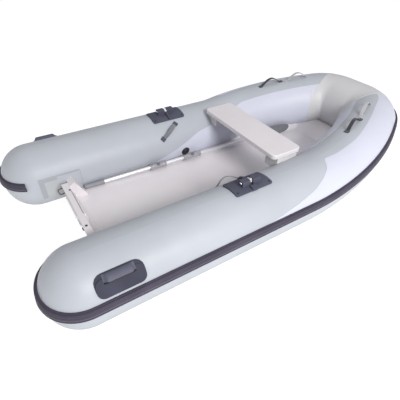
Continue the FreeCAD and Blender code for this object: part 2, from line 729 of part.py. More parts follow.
prism_section = hull_section(float(transom_back), 0, keel_half, chine_y, chine_height, 1)
hull_prism = feature("hull_prism", Part.Face(prism_section).extrude(
    Vector(narrow_x - float(transom_back), 0, 0)))
hull_bow = feature("hull_bow", Part.makeLoft([hull_station(share) for share in BOW_SHARES], True, False))
hull_half = fuse("hull_half", [hull_prism, hull_bow, strake("strake_inner", "strake_inner_share"),
                               strake("strake_outer", "strake_outer_share")])
hull_blank = cut("hull_blank", fuse("hull_both", [hull_half, mirrored("hull_twin", hull_half)]),
                 aft_of("aft_of_hull", transom_back))


# Sole: a flat floor that climbs a ramp to the bow, with a cove at the transom and raised sides forward
ramp_foot = half_boat - size("ramp_foot_inset")
ramp_head = half_boat - size("ramp_head_inset")


def sole_line(drop):
    """The floor's side view, lowered by drop, from the transom to under the bow tube."""
    low, high = float(sole_top) - drop, ramp_top - drop
    return [Vector(float(transom_front), 0, low), Vector(float(ramp_foot), 0, low),
            Vector(float(ramp_head), 0, high), Vector(tubes.bow_x, 0, high)]


def cove():
    """The hollow curve between the transom's leaning face and the sole, between the knees."""
    foot = face_point(transom_front, sole_top)
    under_plate = size("plate_drop") + size("plate_height") + size("cove_gap")
    reach = float(transom_top - under_plate - sole_top)
    centre = foot + Vector(reach * (1 - math.sin(rake)) / math.cos(rake), 0, reach)
    low, high = centre - Z_AXIS * reach, centre - FACE_OUT * reach
    middle = centre - (Z_AXIS + FACE_OUT).normalize() * reach
    edges = [Part.makeLine(foot, low), Part.Arc(low, middle, high).toShape(), Part.makeLine(high, foot)]
    return side_prism("cove", Part.Wire(edges), float(tube_inner_y - size("knee_inset")))


LINER_STATIONS = (0, 0.25, 0.5, 0.75, 1)
UNDER_TUBE_SHARE = 0.85


def liner_side():
    """The liner's raised side in the bow: it leans out from the sole to under the tube."""
    low, floor_z, high = float(sole_under), float(sole_top), float(sole_top + size("liner_side_rise"))
    sections = []
    for share in LINER_STATIONS:
        centre, _, outboard, _ = tubes.sweep_frame(tubes.sweep * share)
        inset = float(size("liner_side_width")) * math.sin(math.pi / 2 * share)
        contact = math.sqrt(max(tubes.radius ** 2 - (centre.z - floor_z) ** 2, 0))
        under = math.sqrt(tubes.radius ** 2 - (centre.z - high) ** 2) * UNDER_TUBE_SHARE
        foot, head, back = -contact - inset, -under, -under / 2
        corners = [centre + outboard * across + Z_AXIS * (height - centre.z) for across, height in
                   ((foot, low), (foot, floor_z), (head, high), (back, high), (back, low))]
        sections.append(closed(corners))
    return feature("liner_side", Part.makeLoft(sections, True, True))


under = sole_line(float(size("liner_thickness")))
behind = Vector(float(transom_back) - side_width, 0, 0)
lid = Vector(0, 0, tubes.height + 2 * tubes.radius)
cockpit_outline = [behind + Z_AXIS * float(sole_under), *under[1:], Vector(tubes.bow_x, 0, 0) + lid,
                   behind + lid]
cockpit = side_prism("cockpit_space", closed(cockpit_outline), tubes.side_y)
side_piece = liner_side()
side_twin = mirrored("liner_side_twin", side_piece)
hull = cut("hull_bottom", hull_blank, fuse("hull_tool", [cockpit, room, side_piece, side_twin]))
before_transom = aft_of("aft_of_front", transom_front)
flat = cut("sole_raked", side_prism("sole_flat", closed(sole_line(0) + under[::-1]), tubes.side_y),
           before_transom)
floor = fuse("sole_blank", [flat, cove(), side_piece, side_twin])
sole = cut("sole", common("sole_between_sides", [floor, hull_blank]), room)


def seated(name, blank):
    """A piece cut to the outside of the tubes, with the fit gap."""
    return cut(name, blank, room)


# Transom, its knees and the two motor plates
def transom_block():
    """The leaning board, level on top and underneath, with shoulders that slope to the tubes."""
    corners = [face_point(transom_front, transom_top), face_point(transom_front, sole_under),
               face_point(transom_back, sole_under), face_point(transom_back, transom_top)]
    board_shape = side_prism("transom_board", closed(corners), tubes.side_y)
    start, width = float(size("transom_top_width")) / 2, tubes.side_y
    fall = width * math.tan(math.radians(float(size("transom_shoulder_angle"))))
    top, aft = float(transom_top), float(transom_back) - tubes.radius
    slope = Part.Face(closed([Vector(aft, start, top), Vector(aft, start + width, top - fall),
                              Vector(aft, start + width, top + fall), Vector(aft, start, top + fall)]))
    shoulder = feature("transom_shoulder", slope.extrude(Vector(2 * tubes.radius, 0, 0)))
    return cut("transom_block", board_shape, fuse("transom_shoulders",
                                                  [shoulder, mirrored("transom_shoulder_twin", shoulder)]))


def is_top_edge(edge):
    """A long edge of the transom's level top."""
    return edge.BoundBox.ZMin > float(transom_top) - OVERSHOOT and edge.BoundBox.XLength < OVERSHOOT


transom = seated("transom", rounded("transom_rounded", transom_block(), size("transom_round_radius"),
                                    is_top_edge))


def knee_blank():
    inner_y = float(tube_inner_y - size("knee_inset"))
    aft, low, high = float(transom_front), float(sole_top), float(transom_top)
    tip, peak = aft + float(size("knee_reach")), aft + float(size("knee_peak_inset"))
    face = Part.Face(closed([Vector(aft, inner_y, low), Vector(tip, inner_y, low),
                             Vector(tip, inner_y, low + float(size("knee_toe_height"))),
                             Vector(peak, inner_y, high - float(size("knee_peak_drop"))),
                             Vector(aft, inner_y, high - float(size("knee_aft_drop")))]))
    whole = feature("knee_whole", face.extrude(Vector(0, tubes.side_y - inner_y, 0)))
    return cut("knee_blank", whole, before_transom)


knee_port = seated("knee_port", knee_blank())
knee_starboard = mirrored("knee_starboard", knee_port)


def motor_plate(name, top_x, stand):
    """A rounded plate on one face of the transom, where the clamps of a motor bear."""
    body = new_body(name)
    middle = transom_top - size("plate_drop") - size("plate_height") / 2
    sketch = rectangle(body, f"{name}_outline", "YZ_Plane", size("plate_width"), size("plate_height"))
    pad(body, f"{name}_pad", sketch, size("plate_thickness"))
    round_edges(body, f"{name}_corners", size("plate_corner_radius"), along(X_AXIS))
    turn(body, Y_AXIS, -size("transom_rake_angle"))
    centre = face_point(top_x, middle) + FACE_OUT * stand
    return place(body, centre.x, 0, centre.z)


motor_plate_inside = motor_plate("motor_plate_inside", transom_front, 0)
motor_plate_outside = motor_plate("motor_plate_outside", transom_back, -float(size("plate_thickness")))


# Thwart and the shoes that carry it
seat_x = station("thwart_share")
seat_under = crest + size("seat_lift") - size("seat_thickness")
board_body = new_body("thwart_board")
thwart_outline = rectangle(board_body, "thwart_outline", "XY_Plane", size("seat_width"),
                           size("seat_length"))
pad(board_body, "thwart_pad", thwart_outline, size("seat_thickness"))
round_edges(board_body, "thwart_corners", size("seat_corner_radius"), along(Z_AXIS))
round_edges(board_body, "thwart_rim", size("seat_rim_radius"), lambda edge: edge.BoundBox.ZLength < 1e-6)
thwart = seated("thwart", place(board_body, seat_x, 0, seat_under))

shoe_block = box("shoe_block", seat_x - size("shoe_width") / 2, tube_inner_y - size("shoe_inset"),
                 seat_under - size("shoe_depth"), size("shoe_width"), size("shoe_length"),
                 size("shoe_depth"))
shoe_port = seated("thwart_shoe_port", shoe_block)
shoe_starboard = mirrored("thwart_shoe_starboard", shoe_port)


# Pieces that lie on the straight part of a side tube
def tube_band(name, thickness, x, length, start_angle, span, corner=None):
    """A strip bent to the tube: angles run up from outboard, round the port tube's axis."""
    outer = cylinder(f"{name}_outer", size("tube_radius") + size("fit_gap") + thickness, length, span)
    inner = cylinder(f"{name}_inner", size("tube_radius") + size("fit_gap"), length)
    for thing, angle in ((outer, start_angle), (inner, 0)):
        first = FreeCAD.Rotation(Y_AXIS, 90)
        swing = FreeCAD.Rotation(X_AXIS, float(angle) + 90)
        thing.Placement.Rotation = swing.multiply(first)
        place(thing, x, size("tube_axis_y"), size("tube_axis_height"))
    band = cut(f"{name}_band", outer, inner)
    if corner is None:
        return band
    return rounded(name, band, corner, is_radial)


def is_radial(edge):
    """A straight edge through the thickness of a band."""
    return edge.Curve.TypeId == "Part::GeomLine" and abs(edge.tangentAt(edge.FirstParameter).x) < 1e-6


def round_the_tube(radius, angle, x):
    """The point at a radius and angle round the port tube's axis, up from outboard."""
    turn_angle = math.radians(angle)
    return Vector(x, tubes.side_y + radius * math.cos(turn_angle),
                  tubes.height + radius * math.sin(turn_angle))


# Stern handles: a bent pad with a raised grip along it
handle_x, handle_length = stern_end + size("handle_inset"), size("handle_pad_length")
handle_angle = size("handle_pad_angle")
handle_span = size("handle_pad_span_angle")
handle_pad_port = tube_band("handle_pad_port", size("handle_pad_thickness"), handle_x - handle_length / 2,
                            handle_length, handle_angle - handle_span / 2, handle_span,
                            size("handle_pad_corner_radius"))
handle_pad_starboard = mirrored("handle_pad_starboard", handle_pad_port)


def bent_path(points, bend):
    """Straight runs through the points, joined by tangent arcs of one radius."""
    edges, last = [], points[0]
    for before, corner, after in zip(points, points[1:], points[2:]):
        back, on = (before - corner).normalize(), (after - corner).normalize()
        half = back.getAngle(on) / 2
        start, end = corner + back * (bend / math.tan(half)), corner + on * (bend / math.tan(half))
        centre = corner + (back + on).normalize() * (bend / math.sin(half))
        middle = centre + (corner - centre).normalize() * bend
        edges += [Part.makeLine(last, start), Part.Arc(start, middle, end).toShape()]
        last = end
    return Part.Wire(edges + [Part.makeLine(last, points[-1])])


def bent_bar(points, bend, radius):
    heading = (points[1] - points[0]).normalize()
    return bent_path(points, bend).makePipeShell([round_profile(points[0], heading, radius)], True, False)


def bent_strap(points, bend, across, width, thickness):
    """A flat strap along the path; across is the direction of its width."""
    normal = (points[1] - points[0]).cross(across).normalize()
    reach, rise = across * (width / 2), normal * (thickness / 2)
    corners = [points[0] + reach + rise, points[0] - reach + rise,
               points[0] - reach - rise, points[0] + reach - rise]
    return bent_path(points, bend).makePipeShell([closed(corners)], True, False)


def stern_grip():
    """A wide moulded grip that rises from the pad at both ends."""
    thickness = float(size("grip_thickness"))
    pad_top = tubes.radius + gap + float(size("handle_pad_thickness"))
    middle_height = pad_top + float(size("grip_rise")) - thickness / 2
    half, slope = float(size("grip_room_length")) / 2, float(size("grip_slope_length"))
    middle, angle = float(handle_x), float(handle_angle + size("grip_offset_angle"))
    ends = [(-half - slope, pad_top - thickness), (-half, middle_height), (half, middle_height),
            (half + slope, pad_top - thickness)]
    points = [round_the_tube(reach, angle, middle + step) for step, reach in ends]
    outward = round_the_tube(1, angle, 0) - round_the_tube(0, angle, 0)
    return bent_strap(points, float(size("grip_bend_radius")), X_AXIS.cross(outward),
                      float(size("grip_width")), thickness)


pad_room = cylinder("pad_room", size("tube_radius") + size("fit_gap") + size("handle_pad_thickness"),
                    size("handle_pad_length") * 2)
pad_room.Placement.Rotation = FreeCAD.Rotation(Y_AXIS, 90)
place(pad_room, handle_x - handle_length, size("tube_axis_y"), size("tube_axis_height"))
grip_blank = rounded("stern_grip_rounded", feature("stern_grip", stern_grip()), size("grip_edge_radius"),
                     lambda edge: abs(edge.BoundBox.XLength) > float(size("grip_room_length")) / 2)
stern_handle_port = cut("stern_handle_port", grip_blank, pad_room)
stern_handle_starboard = mirrored("stern_handle_starboard", stern_handle_port)


# Rowlocks: a pad with two lugs, a pin through them and a tongue that swings on the pin
pad_x, pad_length = station("rowlock_share"), size("pad_length")
rowlock_pad = tube_band("rowlock_pad", size("pad_thickness"), pad_x - pad_length / 2, pad_length,
                        size("pad_angle") - size("pad_span_angle") / 2, size("pad_span_angle"),
                        size("pad_corner_radius"))
pad_top_z = crest + size("pad_thickness")
pin_z = pad_top_z + size("pin_height")
pin_y = size("tube_axis_y") - size("pin_inset")
lug_low = pad_top_z - size("lug_root_depth")


def lugs():
    width, height = size("lug_width"), size("lug_height") + size("lug_root_depth")
    blocks = []
    for name, start in (("aft", pad_x - size("lug_gap") / 2 - size("lug_length")),
                        ("forward", pad_x + size("lug_gap") / 2)):
        body = new_body(f"lug_{name}")
        sketch = rectangle(body, f"lug_{name}_outline", "YZ_Plane", width, height, 0,
                           pin_y, lug_low + height / 2)
        pad(body, f"lug_{name}_pad", sketch, size("lug_length"))
        round_edges(body, f"lug_{name}_top", size("lug_round_radius"),
                    lambda edge: along(X_AXIS)(edge) and edge.BoundBox.ZMin > float(pad_top_z))
        blocks.append(place(body, start, 0, 0))
    return blocks


pin_hole = cylinder("pin_hole", size("pin_radius") + size("pin_fit"), size("lug_length") * 4)
pin_hole.Placement.Rotation = FreeCAD.Rotation(Y_AXIS, 90)
place(pin_hole, pad_x - size("lug_length") * 2, pin_y, pin_z)
base_blank = fuse("rowlock_base_blank", [rowlock_pad] + lugs())
base_seated = cut("rowlock_base_seated", base_blank, room)
rowlock_base_port = cut("rowlock_base_port", base_seated, pin_hole)
rowlock_base_starboard = mirrored("rowlock_base_starboard", rowlock_base_port)

pin_length = size("lug_gap") + size("lug_length") * 2
pin = cylinder("rowlock_pin_port", size("pin_radius"), pin_length)
pin.Placement.Rotation = FreeCAD.Rotation(Y_AXIS, 90)
place(pin, pad_x - pin_length / 2, pin_y, pin_z)
rowlock_pin_starboard = mirrored("rowlock_pin_starboard", pin)


TONGUE_TIP_TOP_SHARE = 0.2
TONGUE_TIP_LOW_SHARE = -0.6


def tongue():
    """A flat tongue with a round eye on the pin, lying inboard."""
    body = new_body("rowlock_tongue_blank")
    reach, half = size("tongue_length"), size("tongue_eye_radius")
    sketch = outline(body, "tongue_outline", "YZ_Plane",
                     [(0, -half), (half, -half), (half, half), (0, half),
                      (-reach, half * TONGUE_TIP_TOP_SHARE), (-reach, half * TONGUE_TIP_LOW_SHARE)])
    pad(body, "tongue_pad", sketch, size("tongue_width"))
    round_edges(body, "tongue_rounds", size("tongue_round_radius"), along(X_AXIS))
    bore = circles(body, "tongue_bore", "YZ_Plane", [(0, 0, size("pin_radius") + size("swivel_clearance"))])
    pocket(body, "tongue_hole", bore, size("tongue_width"), reverse=True)
    turn(body, X_AXIS, size("tongue_slope_angle"))
    return place(body, pad_x - size("tongue_width") / 2, pin_y, pin_z)


rowlock_tongue_port = tongue()
rowlock_tongue_port.Label = "rowlock_tongue_port"
rowlock_tongue_starboard = mirrored("rowlock_tongue_starboard", rowlock_tongue_port)


# Patches, valves and straps
patch_blank = tube_band("patch_blank", size("patch_thickness"), transom_back - size("patch_aft"),
                        size("patch_length"), size("patch_angle"), size("patch_span_angle"))
patch_notch = box("patch_notch", transom_back - size("fit_gap"), 0, 0,
                  board + size("knee_reach") + size("fit_gap") * 2, size("tube_axis_y"),
                  transom_top + size("fit_gap"))
patch_port = cut("transom_patch_port", patch_blank, patch_notch)
patch_starboard = mirrored("transom_patch_starboard", patch_port)


VALVE_RIM_SHARE = 0.86
VALVE_RECESS_SHARE = 0.7
VALVE_FLOOR_SHARE = 0.62
VALVE_SHOULDER_SHARE = 0.6


def valve():
    """A round cap with a turned rim, standing on the tube's inner side."""
    body = new_body("valve_body")
    radius, height, root_depth = size("valve_radius"), size("valve_height"), size("valve_root_depth")
    shoulder = height * VALVE_SHOULDER_SHARE
    sketch = outline(body, "valve_profile", "XZ_Plane",
                     [(0, -root_depth), (radius, -root_depth), (radius, shoulder),
                      (radius * VALVE_RIM_SHARE, height), (radius * VALVE_RECESS_SHARE, height),
                      (radius * VALVE_FLOOR_SHARE, shoulder), (0, shoulder)])
    revolve(body, "valve_turned", sketch)
    angle = float(size("valve_angle"))
    body.Placement.Rotation = FreeCAD.Rotation(X_AXIS, angle - 90)
    body.Placement.Base = round_the_tube(tubes.radius + gap, angle, float(station("valve_share")))
    return body


valve_port = seated("valve_port", valve())
valve_starboard = mirrored("valve_starboard", valve_port)


SIDE_RUN_UP_SHARE = 0.25
BOW_RUN_UP_SHARE = 0.22


def strap(name, points, across, width):
    web = bent_strap(points, float(size("strap_bend_radius")), across, float(width),
                     float(size("strap_thickness")))
    return seated(name, feature(f"{name}_web", web))


def arch(rise, run_up):
    """Steps of a strap: share of the way along, and height off the tube."""
    sunk = -float(size("strap_root_depth"))
    return [(0, sunk), (run_up, rise), (1 - run_up, rise), (1, sunk)]


def side_strap():
    """A grab strap on the inner side, low end aft."""
    low, high = float(size("side_strap_low_angle")), float(size("side_strap_high_angle"))
    length = float(size("side_strap_length"))
    aft = float(station("side_strap_share")) - length / 2
    points = [round_the_tube(tubes.radius + up, low + (high - low) * share, aft + length * share)
              for share, up in arch(float(size("side_strap_rise")), SIDE_RUN_UP_SHARE)]
    run = (points[-1] - points[0]).normalize()
    outward = round_the_tube(1, (low + high) / 2, 0) - round_the_tube(0, 0, 0)
    return strap("grab_strap_port", points, run.cross(outward).normalize(), size("side_strap_width"))


grab_strap_port = side_strap()
grab_strap_starboard = mirrored("grab_strap_starboard", grab_strap_port)


def bow_strap(kind):
    """A carrying strap along the long sweep of the tube, near its crest."""
    start, end, lean = (math.radians(float(size(f"{kind}_{name}_angle")))
                        for name in ("start", "end", "lean"))

    def at(share, up):
        point, _, outboard, upward = tubes.sweep_frame(start + (end - start) * share)
        return point + (upward * math.cos(lean) - outboard * math.sin(lean)) * (tubes.radius + up)

    points = [at(share, up) for share, up in arch(float(size(f"{kind}_rise")), BOW_RUN_UP_SHARE)]
    centre, heading, _, _ = tubes.sweep_frame((start + end) / 2)
    across = heading.cross((at(0.5, 0) - centre).normalize()).normalize()
    return strap(f"{kind}_port", points, across, size("bow_strap_width"))


bow_handle_port = bow_strap("bow_handle")
bow_handle_starboard = mirrored("bow_handle_starboard", bow_handle_port)
bow_loop_port = bow_strap("bow_loop")
bow_loop_starboard = mirrored("bow_loop_starboard", bow_loop_port)


# Eyes and drain bung
def eye(first, last, outward):
    """A bent bar that stands off between two feet."""
    reach = outward * float(size("eye_reach"))
    return bent_bar([first, first + reach, last + reach, last], float(size("eye_bend_radius")),
                    float(size("eye_bar_radius")))


eye_span = FACE_UP * (float(size("eye_length")) / 2)
eye_middle = (face_point(transom_back, transom_top - size("stern_eye_drop"))
              + Y_AXIS * float(tube_inner_y - size("stern_eye_inset")))
stern_eye_port = feature("stern_eye_port", eye(eye_middle - eye_span, eye_middle + eye_span, FACE_OUT * -1))
stern_eye_starboard = mirrored("stern_eye_starboard", stern_eye_port)


def bow_eye():
    """The eye on the stem, square to the keel's line, its feet let into the hull."""
    share, span = float(size("bow_eye_share")), float(size("bow_eye_length"))
    middle = keel_line(share)
    half_share = span / 2 / (stem_x - narrow_x)
    run = (keel_line(share + half_share) - keel_line(share - half_share)).normalize()
    outward = run.cross(Y_AXIS) * -1
    sunk = outward * -float(size("strap_root_depth"))
    bar = eye(middle - run * (span / 2) + sunk, middle + run * (span / 2) + sunk, outward)
    return cut("bow_eye", feature("bow_eye_bar", bar), hull_blank)


stem_eye = bow_eye()


BUNG_SHOULDER_SHARE = 0.4
BUNG_HEAD_SHARE = 0.6


def drain_bung():
    body = new_body("drain_bung")
    radius, length = size("bung_radius"), size("bung_length")
    sketch = outline(body, "bung_profile", "XZ_Plane",
                     [(0, 0), (radius, 0), (radius, length * BUNG_SHOULDER_SHARE),
                      (radius * BUNG_HEAD_SHARE, length), (0, length)])
    revolve(body, "bung_turned", sketch)
    turn(body, Y_AXIS, -size("transom_rake_angle") - 90)
    return place(body, face_point(transom_back, size("bung_height")).x, 0, size("bung_height"))


bung = drain_bung()


# Oar: grip, shaft, collar, clamp and a blade on edge, all in the oar's own line along X
oar_start = transom_front + size("oar_aft_gap")
oar_length = half_boat - size("oar_tip_inset") - oar_start


def turned(name, start, profile):
    """A piece of the oar turned about its line, from points (along, radius)."""
    body = new_body(name)
    points = [(start + along_line, radius) for along_line, radius in profile]
    revolve(body, f"{name}_turned", outline(body, f"{name}_profile", "XZ_Plane", points), "H_Axis")
    return body


def ring(name, kind):
    """A sleeve round the shaft."""
    outer, length = size(f"{kind}_radius"), size(f"{kind}_length")
    inner = shaft_radius + size("swivel_clearance")
    return turned(name, size(f"{kind}_start"), [(0, inner), (0, outer), (length, outer), (length, inner)])


shaft_radius = size("oar_radius")
grip_length, grip_radius = size("grip_length"), size("grip_radius")
blade_length, blade_width = oar_length * size("blade_share"), size("blade_width")
blade_start = oar_length - blade_length
shaft_run = blade_start - grip_length
# Profile of the grip: share of its length, and of its radius
GRIP_SHAPE = [(0, 0.7), (0.06, 1), (0.2, 0.9), (1, 1)]
grip_profile = [(grip_length * along_share, grip_radius * out) for along_share, out in GRIP_SHAPE]
oar_grip = turned("oar_grip", Size(0, "0"), [(0, 0), *grip_profile, (grip_length, 0)])
oar_shaft = turned("oar_shaft", grip_length, [(0, 0), (0, shaft_radius), (shaft_run, shaft_radius),
                                              (shaft_run, 0)])
oar_collar = ring("oar_collar", "collar")
oar_clamp = ring("oar_clamp", "clamp")

# Outline of the blade's upper half: share of its length, and of its half width beyond the shaft
BLADE_SHAPE = [(0, 0), (0.15, 0), (0.4, 0.9), (0.6, 1), (0.86, 0.96), (0.97, 0.66), (1, 0.3)]
BLADE_WIDEST = 0.6


def blade():
    body = new_body("oar_blade")
    spread = blade_width / 2 - shaft_radius
    upper = [(blade_start + blade_length * share, shaft_radius + spread * width)
             for share, width in BLADE_SHAPE]
    lower = [(along_line, -height) for along_line, height in reversed(upper)]
    sketch = outline(body, "blade_outline", "XZ_Plane", upper + lower)
    pad(body, "blade_pad", sketch, size("blade_thickness"), middle=True)
    return body


oar_blade = blade()
oar_height = sole_top + grip_radius + size("fit_gap")
oar_y = inner_side(oar_height) - grip_radius - size("oar_side_gap")
widest = float(blade_start + blade_length * BLADE_WIDEST)
oar_rise = math.asin((float(blade_width) / 2 - float(grip_radius)) / widest)
oar_drift = math.asin(float(size("oar_toe")) / float(oar_length))
oar_turn = FreeCAD.Rotation(Z_AXIS, -math.degrees(oar_drift))
oar_lie = oar_turn.multiply(FreeCAD.Rotation(Y_AXIS, -math.degrees(oar_rise)))
oar = (oar_grip, oar_shaft, oar_collar, oar_clamp, oar_blade)
for piece in oar:
    piece.Placement.Rotation = oar_lie
    place(piece, oar_start, oar_y, oar_height)


# Nodes: every piece that is written, with its file name
NODES = [tube_port, tube_starboard, tube_bow, rail_port, rail_starboard, rail_bow, hull, sole, transom,
         knee_port, knee_starboard, motor_plate_inside, motor_plate_outside, thwart, shoe_port,
         shoe_starboard, handle_pad_port, handle_pad_starboard, stern_handle_port,
         stern_handle_starboard, rowlock_base_port, rowlock_base_starboard, pin,
         rowlock_pin_starboard, rowlock_tongue_port, rowlock_tongue_starboard, patch_port,
         patch_starboard, valve_port, valve_starboard, grab_strap_port, grab_strap_starboard,
         bow_handle_port, bow_handle_starboard, bow_loop_port, bow_loop_starboard, stern_eye_port,
         stern_eye_starboard, stem_eye, bung, *oar]


def write_parts():
    doc.recompute()
    broken = [thing.Label for thing in doc.Objects if {"Invalid", "Error"} & set(thing.State)]
    if broken:
        raise ValueError(f"these objects failed: {broken}")
    for thing in NODES:
        if thing.Shape.isNull() or not thing.Shape.isValid() or not thing.Shape.Solids:
            raise ValueError(f"{thing.Label} has no valid solid")
    os.makedirs("parts", exist_ok=True)
    for thing in NODES:
        thing.Shape.exportStep(f"parts/{thing.Label}.step")
        print(f"{thing.Label}: {len(thing.Shape.Solids)} solid, {thing.Shape.Volume / 1e6:.3f} litres")


write_parts()
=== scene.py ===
import json
import math

import bmesh
import bpy
from mathutils import Matrix, Vector


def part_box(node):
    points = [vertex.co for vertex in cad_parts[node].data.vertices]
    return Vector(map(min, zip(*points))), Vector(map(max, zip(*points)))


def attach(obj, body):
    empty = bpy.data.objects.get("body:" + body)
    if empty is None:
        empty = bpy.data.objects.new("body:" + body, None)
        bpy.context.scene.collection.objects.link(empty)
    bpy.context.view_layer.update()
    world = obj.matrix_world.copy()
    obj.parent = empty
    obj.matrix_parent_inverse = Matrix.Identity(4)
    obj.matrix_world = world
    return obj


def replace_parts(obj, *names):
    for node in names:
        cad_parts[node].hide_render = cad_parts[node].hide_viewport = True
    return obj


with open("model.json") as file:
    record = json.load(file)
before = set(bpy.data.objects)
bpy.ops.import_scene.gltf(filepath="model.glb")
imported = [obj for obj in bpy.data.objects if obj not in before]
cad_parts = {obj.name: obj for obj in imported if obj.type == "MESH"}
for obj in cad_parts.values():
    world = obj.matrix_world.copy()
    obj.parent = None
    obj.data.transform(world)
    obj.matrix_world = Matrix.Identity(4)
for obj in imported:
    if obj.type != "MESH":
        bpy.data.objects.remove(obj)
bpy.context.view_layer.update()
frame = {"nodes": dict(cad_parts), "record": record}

# %% [markdown]
# ## The camera
# A picture can only be compared with a photograph from the same place. The photograph was taken from
# behind the starboard quarter, above head height, looking down along the boat. A constraint could aim the
# camera. Writing its three directions into its matrix keeps the small roll as well.
# %% Camera
EYE = Vector((-1.3477, -1.6538, 1.6847))
YAW = 0.984
PITCH = -0.7003
ROLL = 0.0337
LENS = 30.2


def camera_matrix():
    forward = Vector((math.cos(YAW) * math.cos(PITCH), math.sin(YAW) * math.cos(PITCH), math.sin(PITCH)))
    level = forward.cross(Vector((0, 0, 1))).normalized()
    upright = level.cross(forward)
    right = level * math.cos(ROLL) + upright * math.sin(ROLL)
    top = upright * math.cos(ROLL) - level * math.sin(ROLL)
    turned = Matrix((right, top, -forward)).transposed()
    return Matrix.Translation(EYE) @ turned.to_4x4()


def link(thing):
    bpy.context.scene.collection.objects.link(thing)
    return thing


lens = bpy.data.cameras.new("camera")
lens.lens = LENS
camera = link(bpy.data.objects.new("camera", lens))
camera.matrix_world = camera_matrix()
bpy.context.scene.camera = camera
print("camera at", [round(v, 2) for v in camera.matrix_world.translation])

# %% [markdown]
# ## Shader maths written as sums
# A pattern such as ribbing is a formula. In the node editor each plus or times is a node of its own. A
# small class that stands for a socket, and adds a Math node for each operator, keeps the formula readable.
# %% Sums of sockets


def add_node(tree, kind, settings, sockets, out):
    """A new node: its settings come first, then its inputs, each a value or a link."""
    made = tree.nodes.new(kind)
    for name, value in (settings or {}).items():
        setattr(made, name, value)
    for name, value in (sockets or {}).items():
        if isinstance(value, bpy.types.NodeSocket):
            tree.links.new(value, made.inputs[name])
        else:
            made.inputs[name].default_value = value
    return made.outputs[out]


class Signal:
    """A number that varies over a surface, which takes part in sums."""

    def __init__(self, finish, socket):
        self.finish = finish
        self.socket = socket

    def math(self, operation, first, second=0.0):
        return self.finish.node("ShaderNodeMath", {"operation": operation}, {0: first, 1: second})

    def __add__(self, other):
        return self.math("ADD", self, other)

    def __sub__(self, other):
        return self.math("SUBTRACT", self, other)

    def __rsub__(self, other):
        return self.math("SUBTRACT", other, self)

    def __mul__(self, other):
        return self.math("MULTIPLY", self, other)

    __radd__ = __add__
    __rmul__ = __mul__

    def wave(self):
        return self.math("SINE", self)

    def at_least(self, other):
        return self.math("MAXIMUM", self, other)

    def rise(self, low, high):
        """0 below low, 1 above high, and a smooth climb between."""
        settings = {"interpolation_type": "SMOOTHSTEP"}
        return self.finish.node("ShaderNodeMapRange", settings, {0: self, 1: low, 2: high, 3: 0.0, 4: 1.0})


print("sums can use + - * and", [name for name in vars(Signal) if not name.startswith("__")])

# %% A finish


class Finish:
    """One material while it is being put together."""

    def __init__(self, name):
        self.material = bpy.data.materials.new(name)
        self.material.use_nodes = True
        self.tree = self.material.node_tree
        self.tree.nodes.clear()
        self.place = self.node("ShaderNodeTexCoord", out="Object")

    def node(self, kind, settings=None, sockets=None, out=0):
        """A new node; any of its inputs may be a signal."""
        plain = {name: value.socket if isinstance(value, Signal) else value
                 for name, value in (sockets or {}).items()}
        return Signal(self, add_node(self.tree, kind, settings, plain, out))

    def noise(self, scale, detail=3.0, rough=0.5, place=None):
        sockets = {"Vector": place or self.place, "Scale": scale, "Detail": detail, "Roughness": rough}
        return self.node("ShaderNodeTexNoise", None, sockets)

    def mix(self, share, first, second):
        """A colour between two, by a share from 0 to 1."""
        return self.node("ShaderNodeMix", {"data_type": "RGBA"}, {0: share, 6: first, 7: second}, 2)

    def axis(self, letter, place=None):
        return self.node("ShaderNodeSeparateXYZ", None, {0: place or self.place}, letter)

    def stretched(self, scale):
        return self.node("ShaderNodeMapping", None, {"Vector": self.place, "Scale": scale})

    def surface(self, colour, rough, relief, depth, **gloss):
        """Closes the material: base colour, roughness, and a relief of some depth in metres."""
        height = {"Height": relief, "Distance": depth, "Strength": 1.0}
        normal = self.node("ShaderNodeBump", None, height)
        shader = self.node("ShaderNodeBsdfPrincipled", None,
                           {"Base Color": colour, "Roughness": rough, "Normal": normal, **gloss})
        output = self.tree.nodes.new("ShaderNodeOutputMaterial")
        self.tree.links.new(shader.socket, output.inputs["Surface"])
        return self.material


def shaded(colour, share, more=0.0):
    """A darker or paler colour: each part times a share, plus a little, and 1 at most."""
    return (*(min(part * share + more, 1) for part in colour[:3]), 1)


print("Math and noise nodes are ready, for finishes in Blender", bpy.app.version_string)

# %% [markdown]
# ## Coated fabric
# The tubes are fabric with a smooth plastic coating. On the real boat it is satin, a little mottled, with
# a texture finer than a millimetre and scuffs where things rub. Low down it turns darker toward the
# floor: grime, and also painted shade under the tubes. Image textures would need a map round every
# tube. Noise at several scales needs none, so one function gives the grey tubes, the white panels and the
# tapes, which differ only in colour.
# %% Fabric
TUBE_GREY = (0.475, 0.500, 0.545, 1)
PANEL_WHITE = (0.620, 0.636, 0.735, 1)
# The bow tube's white is greyer and warmer than the panels' white: painted shade, for the shade the bow
# lies in.
BOW_WHITE_IN_SHADE = (0.620, 0.620, 0.632, 1)
# Darker grey toward the floor: grime, and painted shade under the tubes as well.
LOW_GRIME_AND_SHADE = (0.270, 0.268, 0.272, 1)
GRIME_AND_SHADE_FADE = (0.10, 0.27)
FABRIC_SHINE = 0.42


